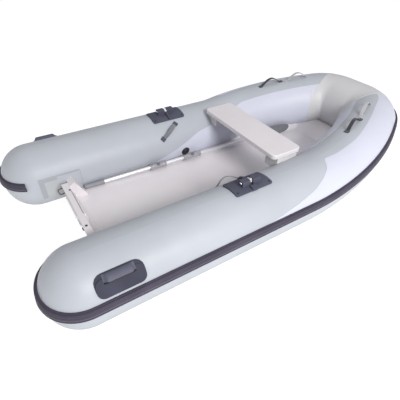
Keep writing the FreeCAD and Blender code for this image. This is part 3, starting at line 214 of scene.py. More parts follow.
def coated_fabric(name, colour, tint=0.94):
    finish = Finish(name)
    mottled = finish.mix(finish.noise(2.6, 4.0).rise(0.32, 0.68), shaded(colour, tint), colour)
    scuffed = finish.noise(38, 6.0, 0.7).rise(0.66, 0.80) * 0.22
    patchy = 0.45 + finish.noise(14, 5.0, 0.6).rise(0.30, 0.75) * 0.35
    # Share of the darker grey low down: grime, and painted shade under the tubes.
    grime_and_shade = (1 - finish.axis("Z").rise(*GRIME_AND_SHADE_FADE)) * patchy
    worn = finish.mix(scuffed, mottled, shaded(colour, 0.90))
    grain = finish.noise(1500, 2.0) * 0.05 + finish.noise(5.5, 2.0) * 1.3
    rough = 0.40 + finish.noise(60, 3.0) * 0.12 + grime_and_shade * 0.3
    return finish.surface(finish.mix(grime_and_shade, worn, LOW_GRIME_AND_SHADE), rough, grain, 0.0030,
                          **{"Specular IOR Level": FABRIC_SHINE})


tube_fabric = coated_fabric("tube fabric", TUBE_GREY)
panel_fabric = coated_fabric("white panel", PANEL_WHITE, 0.97)
# The bow fabric is the white fabric, greyed as painted shade.
bow_fabric_in_shade = coated_fabric("bow fabric, white in painted shade", BOW_WHITE_IN_SHADE, 0.96)
print("fabric nodes", len(tube_fabric.node_tree.nodes))

# %% [markdown]
# ## Moulded white
# Hull, floor, transom and seat are gelcoat: a hard, glossy skin over glass fibre, slightly wavy because a
# mould never comes out perfectly flat. The floor has a fine pebbled grip. Its pebbles could be real
# bumps, but they are smaller than 4 mm, so a relief in the shader is enough. Floor and hull have their
# own finishes, since the floor is trodden and the keel is dragged over slipways.
# %% Gelcoat
GEL_WHITE = (0.790, 0.762, 0.785, 1)
GEL_WARM = (0.760, 0.720, 0.742, 1)
GEL_WORN = (0.66, 0.62, 0.62, 1)
KEEL_FADE = (0.01, 0.09)
TREAD_FROM = (0.2120, 0.2135)
TREAD_TO = (0.2145, 0.2160)
PEBBLES_PER_METRE = 260.0


def gelcoat(name, grip=False, keel=False):
    finish = Finish(name)
    cloudy = finish.mix(finish.noise(3.1, 4.0).rise(0.3, 0.7), GEL_WARM, GEL_WHITE)
    worn = finish.noise(24, 6.0, 0.7).rise(0.62, 0.78) * 0.25
    wave = finish.noise(9, 2.0) * 0.7
    rough = 0.26 + worn * 0.5
    if keel:
        scraped = finish.noise(1, 5.0, 0.65, finish.stretched((4, 70, 70))).rise(0.52, 0.66)
        low = 1 - finish.axis("Z").rise(*KEEL_FADE)
        worn = worn + scraped * low * 0.6
        rough = rough + low * 0.25
    if grip:
        cells = finish.node("ShaderNodeTexVoronoi", {"feature": "SMOOTH_F1"},
                            {"Vector": finish.place, "Scale": PEBBLES_PER_METRE})
        height = finish.axis("Z")
        trodden = height.rise(*TREAD_FROM) * (1 - height.rise(*TREAD_TO))
        wave = wave + (1 - cells) * trodden * 0.16
        rough = rough + trodden * 0.16
    return finish.surface(finish.mix(worn, cloudy, GEL_WORN), rough, wave, 0.0025,
                          **{"Coat Weight": 0.35, "Coat Roughness": 0.12})


moulded_white = gelcoat("gelcoat")
floor_white = gelcoat("floor gelcoat", grip=True)
hull_white = gelcoat("hull gelcoat", keel=True)
print("gelcoats:", moulded_white.name, "and", floor_white.name, "and", hull_white.name)

# %% [markdown]
# ## Rubber, plastic, metal and webbing
# The dark parts are moulded rubber with a fine grain, and the rub rail also has lines along it from the
# die it was pressed through. Metal gets its look from stretched noise, which reads as brushing. Webbing
# is woven, so its pattern follows a map of its own, along and across each strap.
# %% Rubber and plastic
RAIL_SLATE = (0.060, 0.053, 0.078, 1)
PAD_SLATE = (0.080, 0.082, 0.118, 1)
FLAP_SLATE = (0.115, 0.118, 0.158, 1)
HANDLE_SLATE = (0.045, 0.046, 0.070, 1)
BLACK = (0.018, 0.020, 0.024, 1)
SHEER = math.radians(8.1)
RAIL_BEND_X = 0.1935
RIB_PITCH = 0.0075
RUBBER_SHINE = 0.18


def rubber(name, colour, grain_scale=420, rough=0.58, ribbed=False):
    finish = Finish(name)
    bloom = finish.noise(7, 5.0, 0.6).rise(0.35, 0.75) * 0.5
    grain = finish.noise(grain_scale, 3.0) * 0.30
    if ribbed:
        climb = (finish.axis("X") - RAIL_BEND_X).at_least(0.0) * math.tan(SHEER)
        grain = grain + ((finish.axis("Z") - climb) * (2 * math.pi / RIB_PITCH)).wave() * 0.30
    return finish.surface(finish.mix(bloom, colour, shaded(colour, 1.35, 0.01)),
                          rough + finish.noise(30) * 0.14, grain, 0.0008,
                          **{"Specular IOR Level": RUBBER_SHINE})


def plain_plastic(name, colour, rough=0.38):
    finish = Finish(name)
    scratched = finish.noise(1, 5.0, 0.7, finish.stretched((30, 240, 240))).rise(0.60, 0.72) * 0.35
    return finish.surface(finish.mix(scratched, colour, shaded(colour, 1.18, 0.012)),
                          rough + scratched * 0.35, finish.noise(650, 2.0), 0.00025)


rail_rubber = rubber("rail rubber", RAIL_SLATE, 500, 0.46, ribbed=True)
bead_rubber = rubber("rail bead", (0.155, 0.150, 0.185, 1), 500, 0.42)
pad_rubber = rubber("pad rubber", PAD_SLATE)
flap_rubber = rubber("flap rubber", FLAP_SLATE)
handle_rubber = rubber("handle rubber", HANDLE_SLATE)
shoe_rubber = rubber("shoe rubber", (0.60, 0.595, 0.60, 1))
grip_rubber = rubber("oar grip rubber", (0.27, 0.27, 0.30, 1), 300)
thread_finish = rubber("sewing thread", (0.30, 0.30, 0.32, 1), 900, 0.6)
black_plastic = plain_plastic("black plastic", BLACK, 0.42)
plate_plastic = plain_plastic("plate plastic", (0.70, 0.68, 0.69, 1))
blade_plastic = plain_plastic("blade plastic", (0.175, 0.18, 0.20, 1), 0.44)
joint_plastic = plain_plastic("joint plastic", (0.34, 0.33, 0.36, 1), 0.4)
knob_plastic = plain_plastic("knob plastic", (0.15, 0.15, 0.17, 1), 0.45)
print(len(bpy.data.materials), "materials so far")

# %% Metal and webbing
BRIGHT_METAL = (0.90, 0.90, 0.92, 1)
SLEEVE_DARK = (0.060, 0.061, 0.085, 1)
SLEEVE_END_Y = 0.494
THREAD_PITCH = 0.0021


def brushing(finish, stretch):
    return finish.noise(1, 4.0, 0.6, finish.stretched(stretch))


def metal(name, colour, stretch, rough, metallic=1.0):
    finish = Finish(name)
    brushed = brushing(finish, stretch)
    return finish.surface(finish.mix(brushed.rise(0.3, 0.7), shaded(colour, 0.78), colour),
                          rough + brushed * 0.14, brushed, 0.0001, Metallic=metallic)


def sleeved_metal(name):
    """Bare metal near the pin, and a dark sleeve nearer to the middle of the boat."""
    finish = Finish(name)
    across = finish.axis("Y")
    bare = (across * across).rise(SLEEVE_END_Y ** 2, (SLEEVE_END_Y + 0.002) ** 2)
    brushed = brushing(finish, (300, 20, 20))
    return finish.surface(finish.mix(bare, SLEEVE_DARK, BRIGHT_METAL), 0.55 - bare * 0.25 + brushed * 0.1,
                          brushed, 0.0001, Metallic=bare * 0.6)


def woven(name, colour):
    """Webbing: its own map runs along and across the strap, in metres."""
    finish = Finish(name)
    chart = finish.node("ShaderNodeUVMap", {"uv_map": "strap"})
    run = finish.axis("X", chart) * (2 * math.pi / THREAD_PITCH)
    side = finish.axis("Y", chart) * (2 * math.pi / THREAD_PITCH)
    twill = (run + side).wave() * (run - side).wave()
    return finish.surface(finish.mix(twill * 0.5 + 0.5, colour, shaded(colour, 1.5, 0.015)), 0.72, twill,
                          0.0003, **{"Sheen Weight": 0.3, "Sheen Roughness": 0.4})


polished_steel = metal("polished steel", (0.70, 0.70, 0.71, 1), (60, 60, 60), 0.14)
aluminium = metal("anodised aluminium", BRIGHT_METAL, (6, 700, 700), 0.24, 0.55)
# The stern eyes' steel is painted dark brownish grey: painted shade, for the shade they stand in at the
# back of the transom.
dark_steel_in_shade = metal("dark steel in painted shade", (0.20, 0.185, 0.175, 1), (80, 80, 80), 0.38)
tongue_metal = sleeved_metal("sleeved tongue")
dark_webbing = woven("dark webbing", (0.030, 0.031, 0.038, 1))
grey_webbing = woven("grey webbing", (0.16, 0.165, 0.185, 1))
pale_webbing = woven("pale webbing", (0.42, 0.42, 0.43, 1))
print(len(bpy.data.materials), "materials")

# %% [markdown]
# ## Dressing the solids
# A piece whose shape is right only needs its material. That could be set line by line. A list of
# finishes, each with the names that it goes on, is shorter and reads like the boat's own parts list.
# %% Finishes for the solids
BOTH = ("port", "starboard")


def pair(name):
    return [f"{name}_{side}" for side in BOTH]


DRESS = [
    (tube_fabric, [*pair("tube"), *pair("transom_patch")]),
    (bow_fabric_in_shade, ["tube_bow"]),
    (rail_rubber, [*pair("rail"), "rail_bow"]),
    (hull_white, ["hull_bottom"]),
    (floor_white, ["sole"]),
    (moulded_white, ["transom", "thwart", *pair("knee")]),
    (plate_plastic, ["motor_plate_inside", "motor_plate_outside"]),
    (shoe_rubber, pair("thwart_shoe")),
    (handle_rubber, pair("handle_pad")),
    (pad_rubber, pair("rowlock_base")),
    (flap_rubber, pair("stern_handle")),
    (polished_steel, [*pair("rowlock_pin"), "bow_eye"]),
    (dark_steel_in_shade, pair("stern_eye")),
    (tongue_metal, pair("rowlock_tongue")),
    (aluminium, ["oar_shaft"]),
    (grip_rubber, ["oar_grip"]),
    (joint_plastic, ["oar_collar", "oar_clamp"]),
    (black_plastic, [*pair("valve"), "drain_bung"]),
    (blade_plastic, ["oar_blade"]),
    (dark_webbing, [*pair("grab_strap"), *pair("bow_handle")]),
    (pale_webbing, pair("bow_loop")),
]
for finish, names in DRESS:
    for name in names:
        frame["nodes"][name].data.materials.clear()
        frame["nodes"][name].data.materials.append(finish)
print(sum(len(names) for _, names in DRESS), "solids dressed")

# %% [markdown]
# ## The line that the tubes follow
# Panels, tapes, the rail's beads and the straps all lie on the tubes, so they need the tube's own line.
# It could be read from the mesh. A formula is exact: a straight run, a climb, a long sweep inward, a
# short facet, a tight shoulder and the front. Its sizes come from the frame wherever the frame shows them.
# %% Sizes of the tubes
RADIUS = 0.212
tube_low, tube_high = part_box("tube_port")
SIDE_Y = tube_high.y - RADIUS
AXIS_HEIGHT = tube_low.z + RADIUS
SHEER_RADIUS = 0.960
SWEEP = math.radians(27.5)
FACET = 0.088
SHOULDER_RADIUS = 0.226
FRONT_HALF = 0.090
CROWN_RADIUS = 0.236
KNUCKLE_RADIUS = 0.198
X_AXIS = Vector((1, 0, 0))
Y_AXIS = Vector((0, 1, 0))
Z_AXIS = Vector((0, 0, 1))
print("side tubes", 2 * RADIUS, "m across, axis at", [round(v, 3) for v in (SIDE_Y, AXIS_HEIGHT)])

# %% Halving an interval
HALVINGS = 40


def halved(low, high, is_low):
    """The place between low and high up to which is_low holds, found by halving the interval."""
    for _ in range(HALVINGS):
        middle = (low + high) / 2
        low, high = (middle, high) if is_low(middle) else (low, middle)
    return low


print("square root of 2 by halving", round(halved(1.0, 2.0, lambda value: value * value < 2), 5))

# %% The tubes' own line


class TubeLine:
    """The axis of the port tube, by its length from the rim of the stern dome to the middle of the bow."""

    def __init__(self):
        self.ahead = Vector((math.cos(SHEER), 0, math.sin(SHEER)))
        self.top = Vector((-math.sin(SHEER), 0, math.cos(SHEER)))
        left = SIDE_Y - FRONT_HALF - FACET * math.sin(SWEEP) - SHOULDER_RADIUS * math.cos(SWEEP)
        self.sweep_radius = left / (1 - math.cos(SWEEP))
        reach = (self.sweep_radius * math.sin(SWEEP) + FACET * math.cos(SWEEP)
                 + SHOULDER_RADIUS * (1 - math.sin(SWEEP)))
        sweep_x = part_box("tube_bow")[1].x - RADIUS - reach * math.cos(SHEER)
        self.bend_x = sweep_x - SHEER_RADIUS * math.sin(SHEER)
        crown, knuckle = CROWN_RADIUS - KNUCKLE_RADIUS, RADIUS - KNUCKLE_RADIUS
        self.meet = math.asin(knuckle / crown)
        self.rim_x = tube_low.x + CROWN_RADIUS - math.sqrt(crown ** 2 - knuckle ** 2)
        sweep_z = AXIS_HEIGHT + SHEER_RADIUS * (1 - math.cos(SHEER))
        self.centre = Vector((sweep_x, SIDE_Y - self.sweep_radius, sweep_z))
        facet_end = self.swept(SWEEP) + self.heading(SWEEP) * FACET
        self.corner = facet_end - self.outboard(SWEEP) * SHOULDER_RADIUS
        self.runs = [self.bend_x - self.rim_x, SHEER_RADIUS * SHEER, self.sweep_radius * SWEEP, FACET,
                     SHOULDER_RADIUS * (math.pi / 2 - SWEEP), FRONT_HALF]
        self.length = sum(self.runs)

    def outboard(self, angle):
        return self.ahead * math.sin(angle) + Y_AXIS * math.cos(angle)

    def heading(self, angle):
        return self.ahead * math.cos(angle) - Y_AXIS * math.sin(angle)

    def swept(self, angle):
        return self.centre + self.outboard(angle) * self.sweep_radius

    def at(self, along):
        """The point, the outboard direction and the upward direction."""
        straight, bend, sweep, facet, shoulder, _ = self.runs
        if along < straight:
            return Vector((self.rim_x + along, SIDE_Y, AXIS_HEIGHT)), Y_AXIS, Z_AXIS
        along -= straight
        if along < bend:
            angle = along / SHEER_RADIUS
            climb = SHEER_RADIUS * (1 - math.cos(angle))
            point = Vector((self.bend_x + SHEER_RADIUS * math.sin(angle), SIDE_Y, AXIS_HEIGHT + climb))
            return point, Y_AXIS, Vector((-math.sin(angle), 0, math.cos(angle)))
        along -= bend
        if along < sweep:
            angle = along / self.sweep_radius
            return self.swept(angle), self.outboard(angle), self.top
        along -= sweep
        if along < facet:
            return self.swept(SWEEP) + self.heading(SWEEP) * along, self.outboard(SWEEP), self.top
        along -= facet
        if along < shoulder:
            angle = SWEEP + along / SHOULDER_RADIUS
            return self.corner + self.outboard(angle) * SHOULDER_RADIUS, self.outboard(angle), self.top
        front = self.corner + self.ahead * SHOULDER_RADIUS
        return front - Y_AXIS * (along - shoulder), self.ahead, self.top

    def skin(self, along, turn, lift=0.0):
        """A point on the tube: turn is in degrees, 0 outboard, 90 at the crest and 180 inboard."""
        point, outboard, up = self.at(along)
        angle = math.radians(turn)
        return point + (outboard * math.cos(angle) + up * math.sin(angle)) * (RADIUS + lift)

    def along_at(self, x):
        """The length along the axis at which it reaches x."""
        return halved(0.0, self.length, lambda along: self.at(along)[0].x < x)


tube = TubeLine()
print("tube axis", round(tube.length, 3), "m from dome rim to bow, bend at x", round(tube.bend_x, 3))

# %% [markdown]
# ## Small makers of meshes
# Most trims are a row of points carried along something. Modifiers could bend flat strips to the tube,
# but points worked out from its line land on it exactly. One helper joins rows into a closed skin, and
# another makes the object: it merges doubles, turns all faces outward, keeps hard edges sharp and lets
# the piece ride on the boat. What is at port is made again at starboard, as its mirror image.
# %% A skin over rows


def joined(rows, loop=False):
    """Faces over rows of points, each row a closed ring; loop joins the last row to the first."""
    count = len(rows[0])
    points = [point for row in rows for point in row]
    faces = []
    for i in range(len(rows) if loop else len(rows) - 1):
        here, there = i * count, (i + 1) % len(rows) * count
        for j in range(count):
            k = (j + 1) % count
            faces.append((here + j, here + k, there + k, there + j))
    if not loop:
        for start in (0, (len(rows) - 1) * count):
            faces += [(start + j, start + j + 1, start + count - 2 - j, start + count - 1 - j)
                      for j in range(count // 2 - 1)]
    return points, faces


square = ((0, 0), (1, 0), (1, 1), (0, 1))
box_skin = joined([[(x, y, z) for x, y in square] for z in (0, 1)])
print("two squares give a box of", len(box_skin[1]), "faces")

# %% Pieces
SHARP = math.radians(34)


def placed(name, mesh):
    """The mesh as an object that rides on the boat, smooth except where its faces meet sharply."""
    mesh.shade_smooth()
    mesh.set_sharp_from_angle(angle=SHARP)
    made = link(bpy.data.objects.new(name, mesh))
    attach(made, "root")
    return made


def piece(name, shape, finish, chart=None):
    """A finished piece from its points and faces; chart gives each point its place on a strap."""
    mesh = bpy.data.meshes.new(name)
    mesh.from_pydata(shape[0], [], shape[1])
    if chart:
        layer = mesh.uv_layers.new(name="strap")
        for corner in mesh.loops:
            layer.data[corner.index].uv = chart[corner.vertex_index]
    work = bmesh.new()
    work.from_mesh(mesh)
    bmesh.ops.remove_doubles(work, verts=work.verts, dist=1e-6)
    bmesh.ops.recalc_face_normals(work, faces=work.faces)
    work.to_mesh(mesh)
    work.free()
    mesh.materials.append(finish)
    return placed(name, mesh)


print("pieces are smooth up to", round(math.degrees(SHARP)), "degrees between faces")

# %% Port and starboard


def mirrored(points):
    return [Vector((p[0], -p[1], p[2])) for p in points]


def sides(shape):
    """The shape for port, and its mirror image for starboard."""
    return ("port", shape), ("starboard", (mirrored(shape[0]), shape[1]))


def both_sides(name, shape, finish):
    for side, made in sides(shape):
        piece(f"{name}_{side}", made, finish)


print("1 m to port is mirrored to", tuple(mirrored([Y_AXIS])[0]))

# %% [markdown]
# ## The seam at the bow
# The tube across the bow is glued to the side tubes along a slanted plane. Its trace was read from the
# photograph at the crest. Cutting meshes with the plane would leave slivers along it. Instead, halving an
# interval finds where the plane meets each place round the tube, and the coloured panels end there.
# %% The seam's plane
SEAM_INNER = Vector((1.0905, 0.192, 0))
SEAM_OUTER = Vector((1.2605, 0.246, 0))
SEAM_HEIGHT = 0.64
SEAM_BEYOND_X = 0.8
LAST_TURN = 200.0
NO_LIMIT = 400.0


def seam_side(point):
    """How far a point is forward of the seam's plane, and below 0 where it is aft of it."""
    run = SEAM_OUTER - SEAM_INNER
    normal = Vector((run.y, -run.x, 0)).normalized()
    lean = (point.z - SEAM_HEIGHT) * math.tan(SHEER)
    return (point - SEAM_INNER + Vector((lean, 0, 0))).dot(normal)


def seam_along(turn):
    """The length along the tube at which the seam crosses a turn."""
    start = tube.along_at(SEAM_BEYOND_X)
    return halved(start, tube.length, lambda along: seam_side(tube.skin(along, turn)) < 0)


def seam_turn(along):
    """The largest turn that is still aft of the seam at a length along the tube."""
    if seam_side(tube.skin(along, LAST_TURN)) < 0:
        return NO_LIMIT
    return halved(0.0, LAST_TURN, lambda turn: seam_side(tube.skin(along, turn)) < 0)


print("seam at the crest, m along the tube", round(seam_along(90), 3))

# %% [markdown]
# ## Coloured panels
# White panels are glued over the grey tube, outside and inside, and a grey band stays along the crest.
# Paint in the shader could show this. Thin slabs of fabric were chosen, because the real panels have an
# edge that catches light. Each row of a slab is a ring: the top from low turn to high turn, and back.
# %% Slabs of fabric
FABRIC_LIFT = 0.0010
SUNK = -0.0015
PANEL_STEP = 0.014
PANEL_ACROSS = 20
NARROWEST = 0.4


def slab(rows, across=14, lift=FABRIC_LIFT):
    """A slab on the tube from rows of (along, low turn, high turn)."""
    rings = []
    for along, low, high in rows:
        turns = [low + (high - low) * i / across for i in range(across + 1)]
        rings.append([tube.skin(along, turn, lift) for turn in turns]
                     + [tube.skin(along, turn, SUNK) for turn in reversed(turns)])
    return joined(rings)


def span(start, end, low, high):
    """Rows between two lengths along the tube, cut off at the bow seam."""
    count = max(2, round((end - start) / PANEL_STEP))
    rows = []
    for i in range(count + 1):
        along = start + (end - start) * i / count
        bottom, top = low(along), min(high(along), seam_turn(along))
        if top - bottom > NARROWEST:
            rows.append((along, bottom, top))
    return rows


print("panels are", 1000 * FABRIC_LIFT, "mm thick, in rows", 1000 * PANEL_STEP, "mm apart")

# %% White panels and the grey band between them
OUTER_EDGE = [(-0.2375, 18.7), (-0.0105, 29.4), (0.1285, 38.9), (0.2565, 52.3), (0.3095, 63), (0.3395, 79),
              (0.4475, 75.0), (0.6475, 73.0), (0.8875, 77.5), (1.0475, 79.0), (1.2475, 77.5)]
INNER_EDGE = [(-0.4985, 202), (-0.2385, 176), (-0.0615, 155), (0.1285, 145), (0.4435, 123), (0.8475, 122),
              (1.1475, 120)]
RAIL_EDGE = 17.6
UNDER_FLOOR = 236.0
OUTER_START_X = -0.2525
OVERLAP = 0.6
panel_end = tube.length - 0.02


def table(value, stops):
    """Straight lines between stops of (value, result)."""
    for (low, first), (high, second) in zip(stops, stops[1:]):
        if value <= high:
            return first + (second - first) * max(0.0, (value - low) / (high - low))
    return stops[-1][1]


def outer_edge(along):
    return table(tube.at(along)[0].x, OUTER_EDGE)


def inner_edge(along):
    return table(tube.at(along)[0].x, INNER_EDGE)


outer_rows = span(tube.along_at(OUTER_START_X), panel_end, lambda along: RAIL_EDGE, outer_edge)
inner_rows = span(tube.along_at(INNER_EDGE[0][0]), panel_end, inner_edge, lambda along: UNDER_FLOOR)
band_rows = span(sum(tube.runs[:3]) - 0.03, panel_end, lambda along: outer_edge(along) - OVERLAP,
                 lambda along: inner_edge(along) + OVERLAP)
outer_panel = slab(outer_rows, PANEL_ACROSS)
inner_panel = slab(inner_rows, PANEL_ACROSS)
crest_band = slab(band_rows, lift=FABRIC_LIFT * 0.8)
both_sides("outer_panel", outer_panel, panel_fabric)
both_sides("inner_panel", inner_panel, panel_fabric)
both_sides("crest_band", crest_band, tube_fabric)
print("panel faces", len(outer_panel[1]), len(inner_panel[1]), len(crest_band[1]))

# %% [markdown]
# ## Seam tapes
# On the real boat a tape is glued over the slanted seam at each side of the bow. A stripe in the shader
# would have no edge. Here the tape is a thin ring that stands a little prouder than the panels and
# follows the seam's plane. The domes at the stern get none, since none shows there.
# %% Tape round a tube
TAPE_HALF = 0.014
TAPE_LIFT = 0.0017
TAPE_SIDE = 0.0012
TAPE_BEVEL = 0.0012
RING_COUNT = 96


def tape(centre):
    """A ring of tape, centre giving the length along the tube for each turn."""
    flat = TAPE_HALF - TAPE_BEVEL
    profile = [(-TAPE_HALF, SUNK), (-TAPE_HALF, TAPE_SIDE), (-flat, TAPE_LIFT), (0, TAPE_LIFT),
               (flat, TAPE_LIFT), (TAPE_HALF, TAPE_SIDE), (TAPE_HALF, SUNK)]
    rows = []
    for i in range(RING_COUNT):
        turn = 360 * i / RING_COUNT
        middle = centre(turn)
        rows.append([tube.skin(middle + step, turn, height) for step, height in profile])
    return joined(rows, loop=True)


both_sides("bow_seam_tape", tape(seam_along), bow_fabric_in_shade)
print("tape", 1000 * 2 * TAPE_HALF, "mm wide")

# %% [markdown]
# ## Beads along the rub rail
# The rail is pressed through a die, so lines run its whole length. A curve with a bevel could give each
# of them. A Geometry Nodes tree that carries a round section along a path serves them all, since its
# radius is a named input: one path per height, round the stern domes, along the sides and the bow.
# %% Geometry Nodes from a script


class NodeTree:
    """A Geometry Nodes tree with named inputs, put on a mesh whose result is then made plain."""

    def __init__(self, name, inputs):
        self.tree = bpy.data.node_groups.new(name, "GeometryNodeTree")
        for label, kind in {"Geometry": "Geometry", **inputs}.items():
            self.tree.interface.new_socket(label, in_out="INPUT", socket_type=f"NodeSocket{kind}")
        self.tree.interface.new_socket("Geometry", in_out="OUTPUT", socket_type="NodeSocketGeometry")
        self.given = self.tree.nodes.new("NodeGroupInput")
        self.result = self.tree.nodes.new("NodeGroupOutput")

    def given_as(self, label):
        return self.given.outputs[label]

    def node(self, kind, settings=None, sockets=None, out=0):
        return add_node(self.tree, kind, settings, sockets, out)

    def finish(self, geometry, material):
        real = self.node("GeometryNodeRealizeInstances", None, {0: geometry})
        dressed = self.node("GeometryNodeSetMaterial", None, {"Geometry": real, "Material": material})
        self.tree.links.new(dressed, self.result.inputs[0])

    def apply(self, name, host, values, slot):
        """The tree's result on the host mesh, as a plain piece."""
        modifier = host.modifiers.new("nodes", "NODES")
        modifier.node_group = self.tree
        for item in self.tree.interface.items_tree:
            if item.in_out == "INPUT" and item.name in values:
                modifier[item.identifier] = values[item.name]
        depsgraph = bpy.context.evaluated_depsgraph_get()
        mesh = bpy.data.meshes.new_from_object(host.evaluated_get(depsgraph))
        mesh.name = name
        host.modifiers.clear()
        bpy.data.objects.remove(host)
        return placed(name, mesh)


def host_mesh(name, points, edges=(), faces=(), **directions):
    """A bare mesh, with named directions on each point where a tree needs them."""
    mesh = bpy.data.meshes.new(name)
    mesh.from_pydata([tuple(p) for p in points], list(edges), list(faces))
    for label, ways in directions.items():
        layer = mesh.attributes.new(label, "FLOAT_VECTOR", "POINT")
        layer.data.foreach_set("vector", [part for way in ways for part in way])
    return link(bpy.data.objects.new(name, mesh))


print("node groups so far", len(bpy.data.node_groups))

# %% A round bead along a path
BEAD_SIDES = 10
bead_tree = NodeTree("bead along a path", {"Radius": "Float", "Material": "Material"})
bead_path = bead_tree.node("GeometryNodeMeshToCurve", None, {0: bead_tree.given_as("Geometry")})
bead_ring = bead_tree.node("GeometryNodeCurvePrimitiveCircle", {"mode": "RADIUS"},
                           {"Resolution": BEAD_SIDES, "Radius": bead_tree.given_as("Radius")})
bead_skin = bead_tree.node("GeometryNodeCurveToMesh", None,
                           {0: bead_path, "Profile Curve": bead_ring, "Fill Caps": True})
bead_tree.finish(bead_skin, bead_tree.given_as("Material"))


def bead(name, points, radius, finish, slot):
    """A round bead along a row of points."""
    host = host_mesh(f"{name}_path", points, [(i, i + 1) for i in range(len(points) - 1)])
    bead_tree.apply(name, host, {"Radius": radius, "Material": finish}, slot)


print("bead tree sockets", [item.name for item in bead_tree.tree.interface.items_tree])

# %% The rail's path
RAIL_END_INSET = 0.082
DOME_STEPS = 40
RAIL_STEPS = 170


def dome_side(height, stand):
    """The path round the port stern dome at a height above its axis, from the inner side to the outer."""
    crown, knuckle, radius = CROWN_RADIUS + stand, KNUCKLE_RADIUS + stand, RADIUS + stand
    outer = []
    for i in range(DOME_STEPS + 1):
        turn = math.pi / 2 * i / DOME_STEPS
        if turn < tube.meet:
            centre = tube_low.x + CROWN_RADIUS
            x, reach = centre - crown * math.cos(turn), crown * math.sin(turn)
        else:
            x = tube.rim_x - knuckle * math.cos(turn)
            reach = radius - knuckle + knuckle * math.sin(turn)
        if reach > height:
            outer.append((x, math.sqrt(reach ** 2 - height ** 2)))
    tip = [(outer[0][0], 0.0)]
    inner = [(x, -side) for x, side in reversed(outer) if x < tube.rim_x - RAIL_END_INSET]
    return [Vector((x, SIDE_Y + side, AXIS_HEIGHT + height)) for x, side in inner + tip + outer]


def rail_path(height, stand):
    """The whole rail's line, from the inner side of the port stern to that of the starboard stern."""
    turn = math.degrees(math.asin(height / (RADIUS + stand)))
    side = [tube.skin(tube.length * i / RAIL_STEPS, turn, stand) for i in range(1, RAIL_STEPS + 1)]
    port = dome_side(height, stand) + side
    return port + mirrored(reversed(port[:-1]))


RAIL_STANDS = 0.014
BEADS = [("rail_bead", 0.0320, RAIL_STANDS - 0.0022, 0.0024, bead_rubber),
         ("rail_rib_low", 0.0225, RAIL_STANDS - 0.0004, 0.0013, rail_rubber),
         ("rail_rib_middle", 0.0435, RAIL_STANDS - 0.0004, 0.0013, rail_rubber),
         ("rail_rib_high", 0.0560, RAIL_STANDS - 0.0004, 0.0013, rail_rubber)]
for name, height, stand, radius, finish in BEADS:
    path = rail_path(height, stand)
    bead(name, path, radius, finish, "rub_rail")
print("rail path", round(sum((a - b).length for a, b in zip(path, path[1:])), 2), "m")

# %% [markdown]
# ## Webbing straps
# The carrying straps are woven webbing, glued down at both ends and arched between. In the solids they
# are bent bars. A cloth simulation could find the arch, but a formula gives the same one each run. Each
# strap is a thin band that leaves the tube smoothly, with its own map along and across it, so that the
# weave follows the band.
# %% A band of webbing
STRAP_STEPS = 44
TAIL = 0.10
WEB_THICKNESS = 0.0036
WEB_EDGE = 0.0012
WEB_ROUND = 0.4
WEB_LIFT = 0.0022
ARCH_POWER = 1.15
NUDGE = 0.004


def on_strap(way, share, rise):
    """A point of the strap's line and its outward direction; way gives the tube's place at a share."""
    along, turn = way(share)
    ground, above = tube.skin(along, turn), tube.skin(along, turn, 1.0)
    outward = above - ground
    free = min(max((share - TAIL) / (1 - 2 * TAIL), 0.0), 1.0)
    arch = math.sin(math.pi * free) ** ARCH_POWER
    return ground + outward * (WEB_LIFT + rise * arch), outward


def band(way, rise, width, thickness=WEB_THICKNESS, first=0.0, last=1.0):
    """A strap's shape, its map, and at each step its point, its cross direction and its normal."""
    side, up = width / 2, thickness / 2
    flat, low = side - WEB_EDGE, up * WEB_ROUND
    profile = [(-side, -low), (-side, low), (-flat, up), (flat, up),
               (side, low), (side, -low), (flat, -up), (-flat, -up)]
    rows, chart, frames, run = [], [], [], 0.0
    for i in range(STRAP_STEPS + 1):
        share = first + (last - first) * i / STRAP_STEPS
        point, outward = on_strap(way, share, rise)
        before, after = (on_strap(way, share + nudge, rise)[0] for nudge in (-NUDGE, NUDGE))
        ahead = (after - before).normalized()
        across = ahead.cross(outward).normalized()
        normal = across.cross(ahead)
        if frames:
            run += (point - frames[-1][0]).length
        frames.append((point, across, normal))
        rows.append([point + across * a + normal * b for a, b in profile])
        chart += [(run, a) for a, _ in profile]
    return joined(rows), chart, frames


print("webbing is", 1000 * WEB_THICKNESS, "mm thick, in", STRAP_STEPS, "steps")

# %% Where the straps lie
GRAB_FROM = 0.03
GRAB_USED = 0.86
GRAB_TURN = 153
GRAB_TURN_BACK = 32


def side_way(share):
    """The inner grab strap's line: low end aft, high end forward."""
    low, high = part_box("grab_strap_port")
    used = GRAB_FROM + GRAB_USED * share
    return tube.along_at(low.x + (high.x - low.x) * used), GRAB_TURN - GRAB_TURN_BACK * used


def bow_way(start, end, aft_turn, fore_turn):
    """A bow strap's line between two angles of the sweep, and two turns round the tube."""
    base = sum(tube.runs[:2])

    def way(share):
        angle = start + (end - start) * share
        return base + tube.sweep_radius * math.radians(angle), aft_turn + (fore_turn - aft_turn) * share
    return way


print("grab strap from", round(side_way(0)[0], 3), "to", round(side_way(1)[0], 3), "m along the tube")

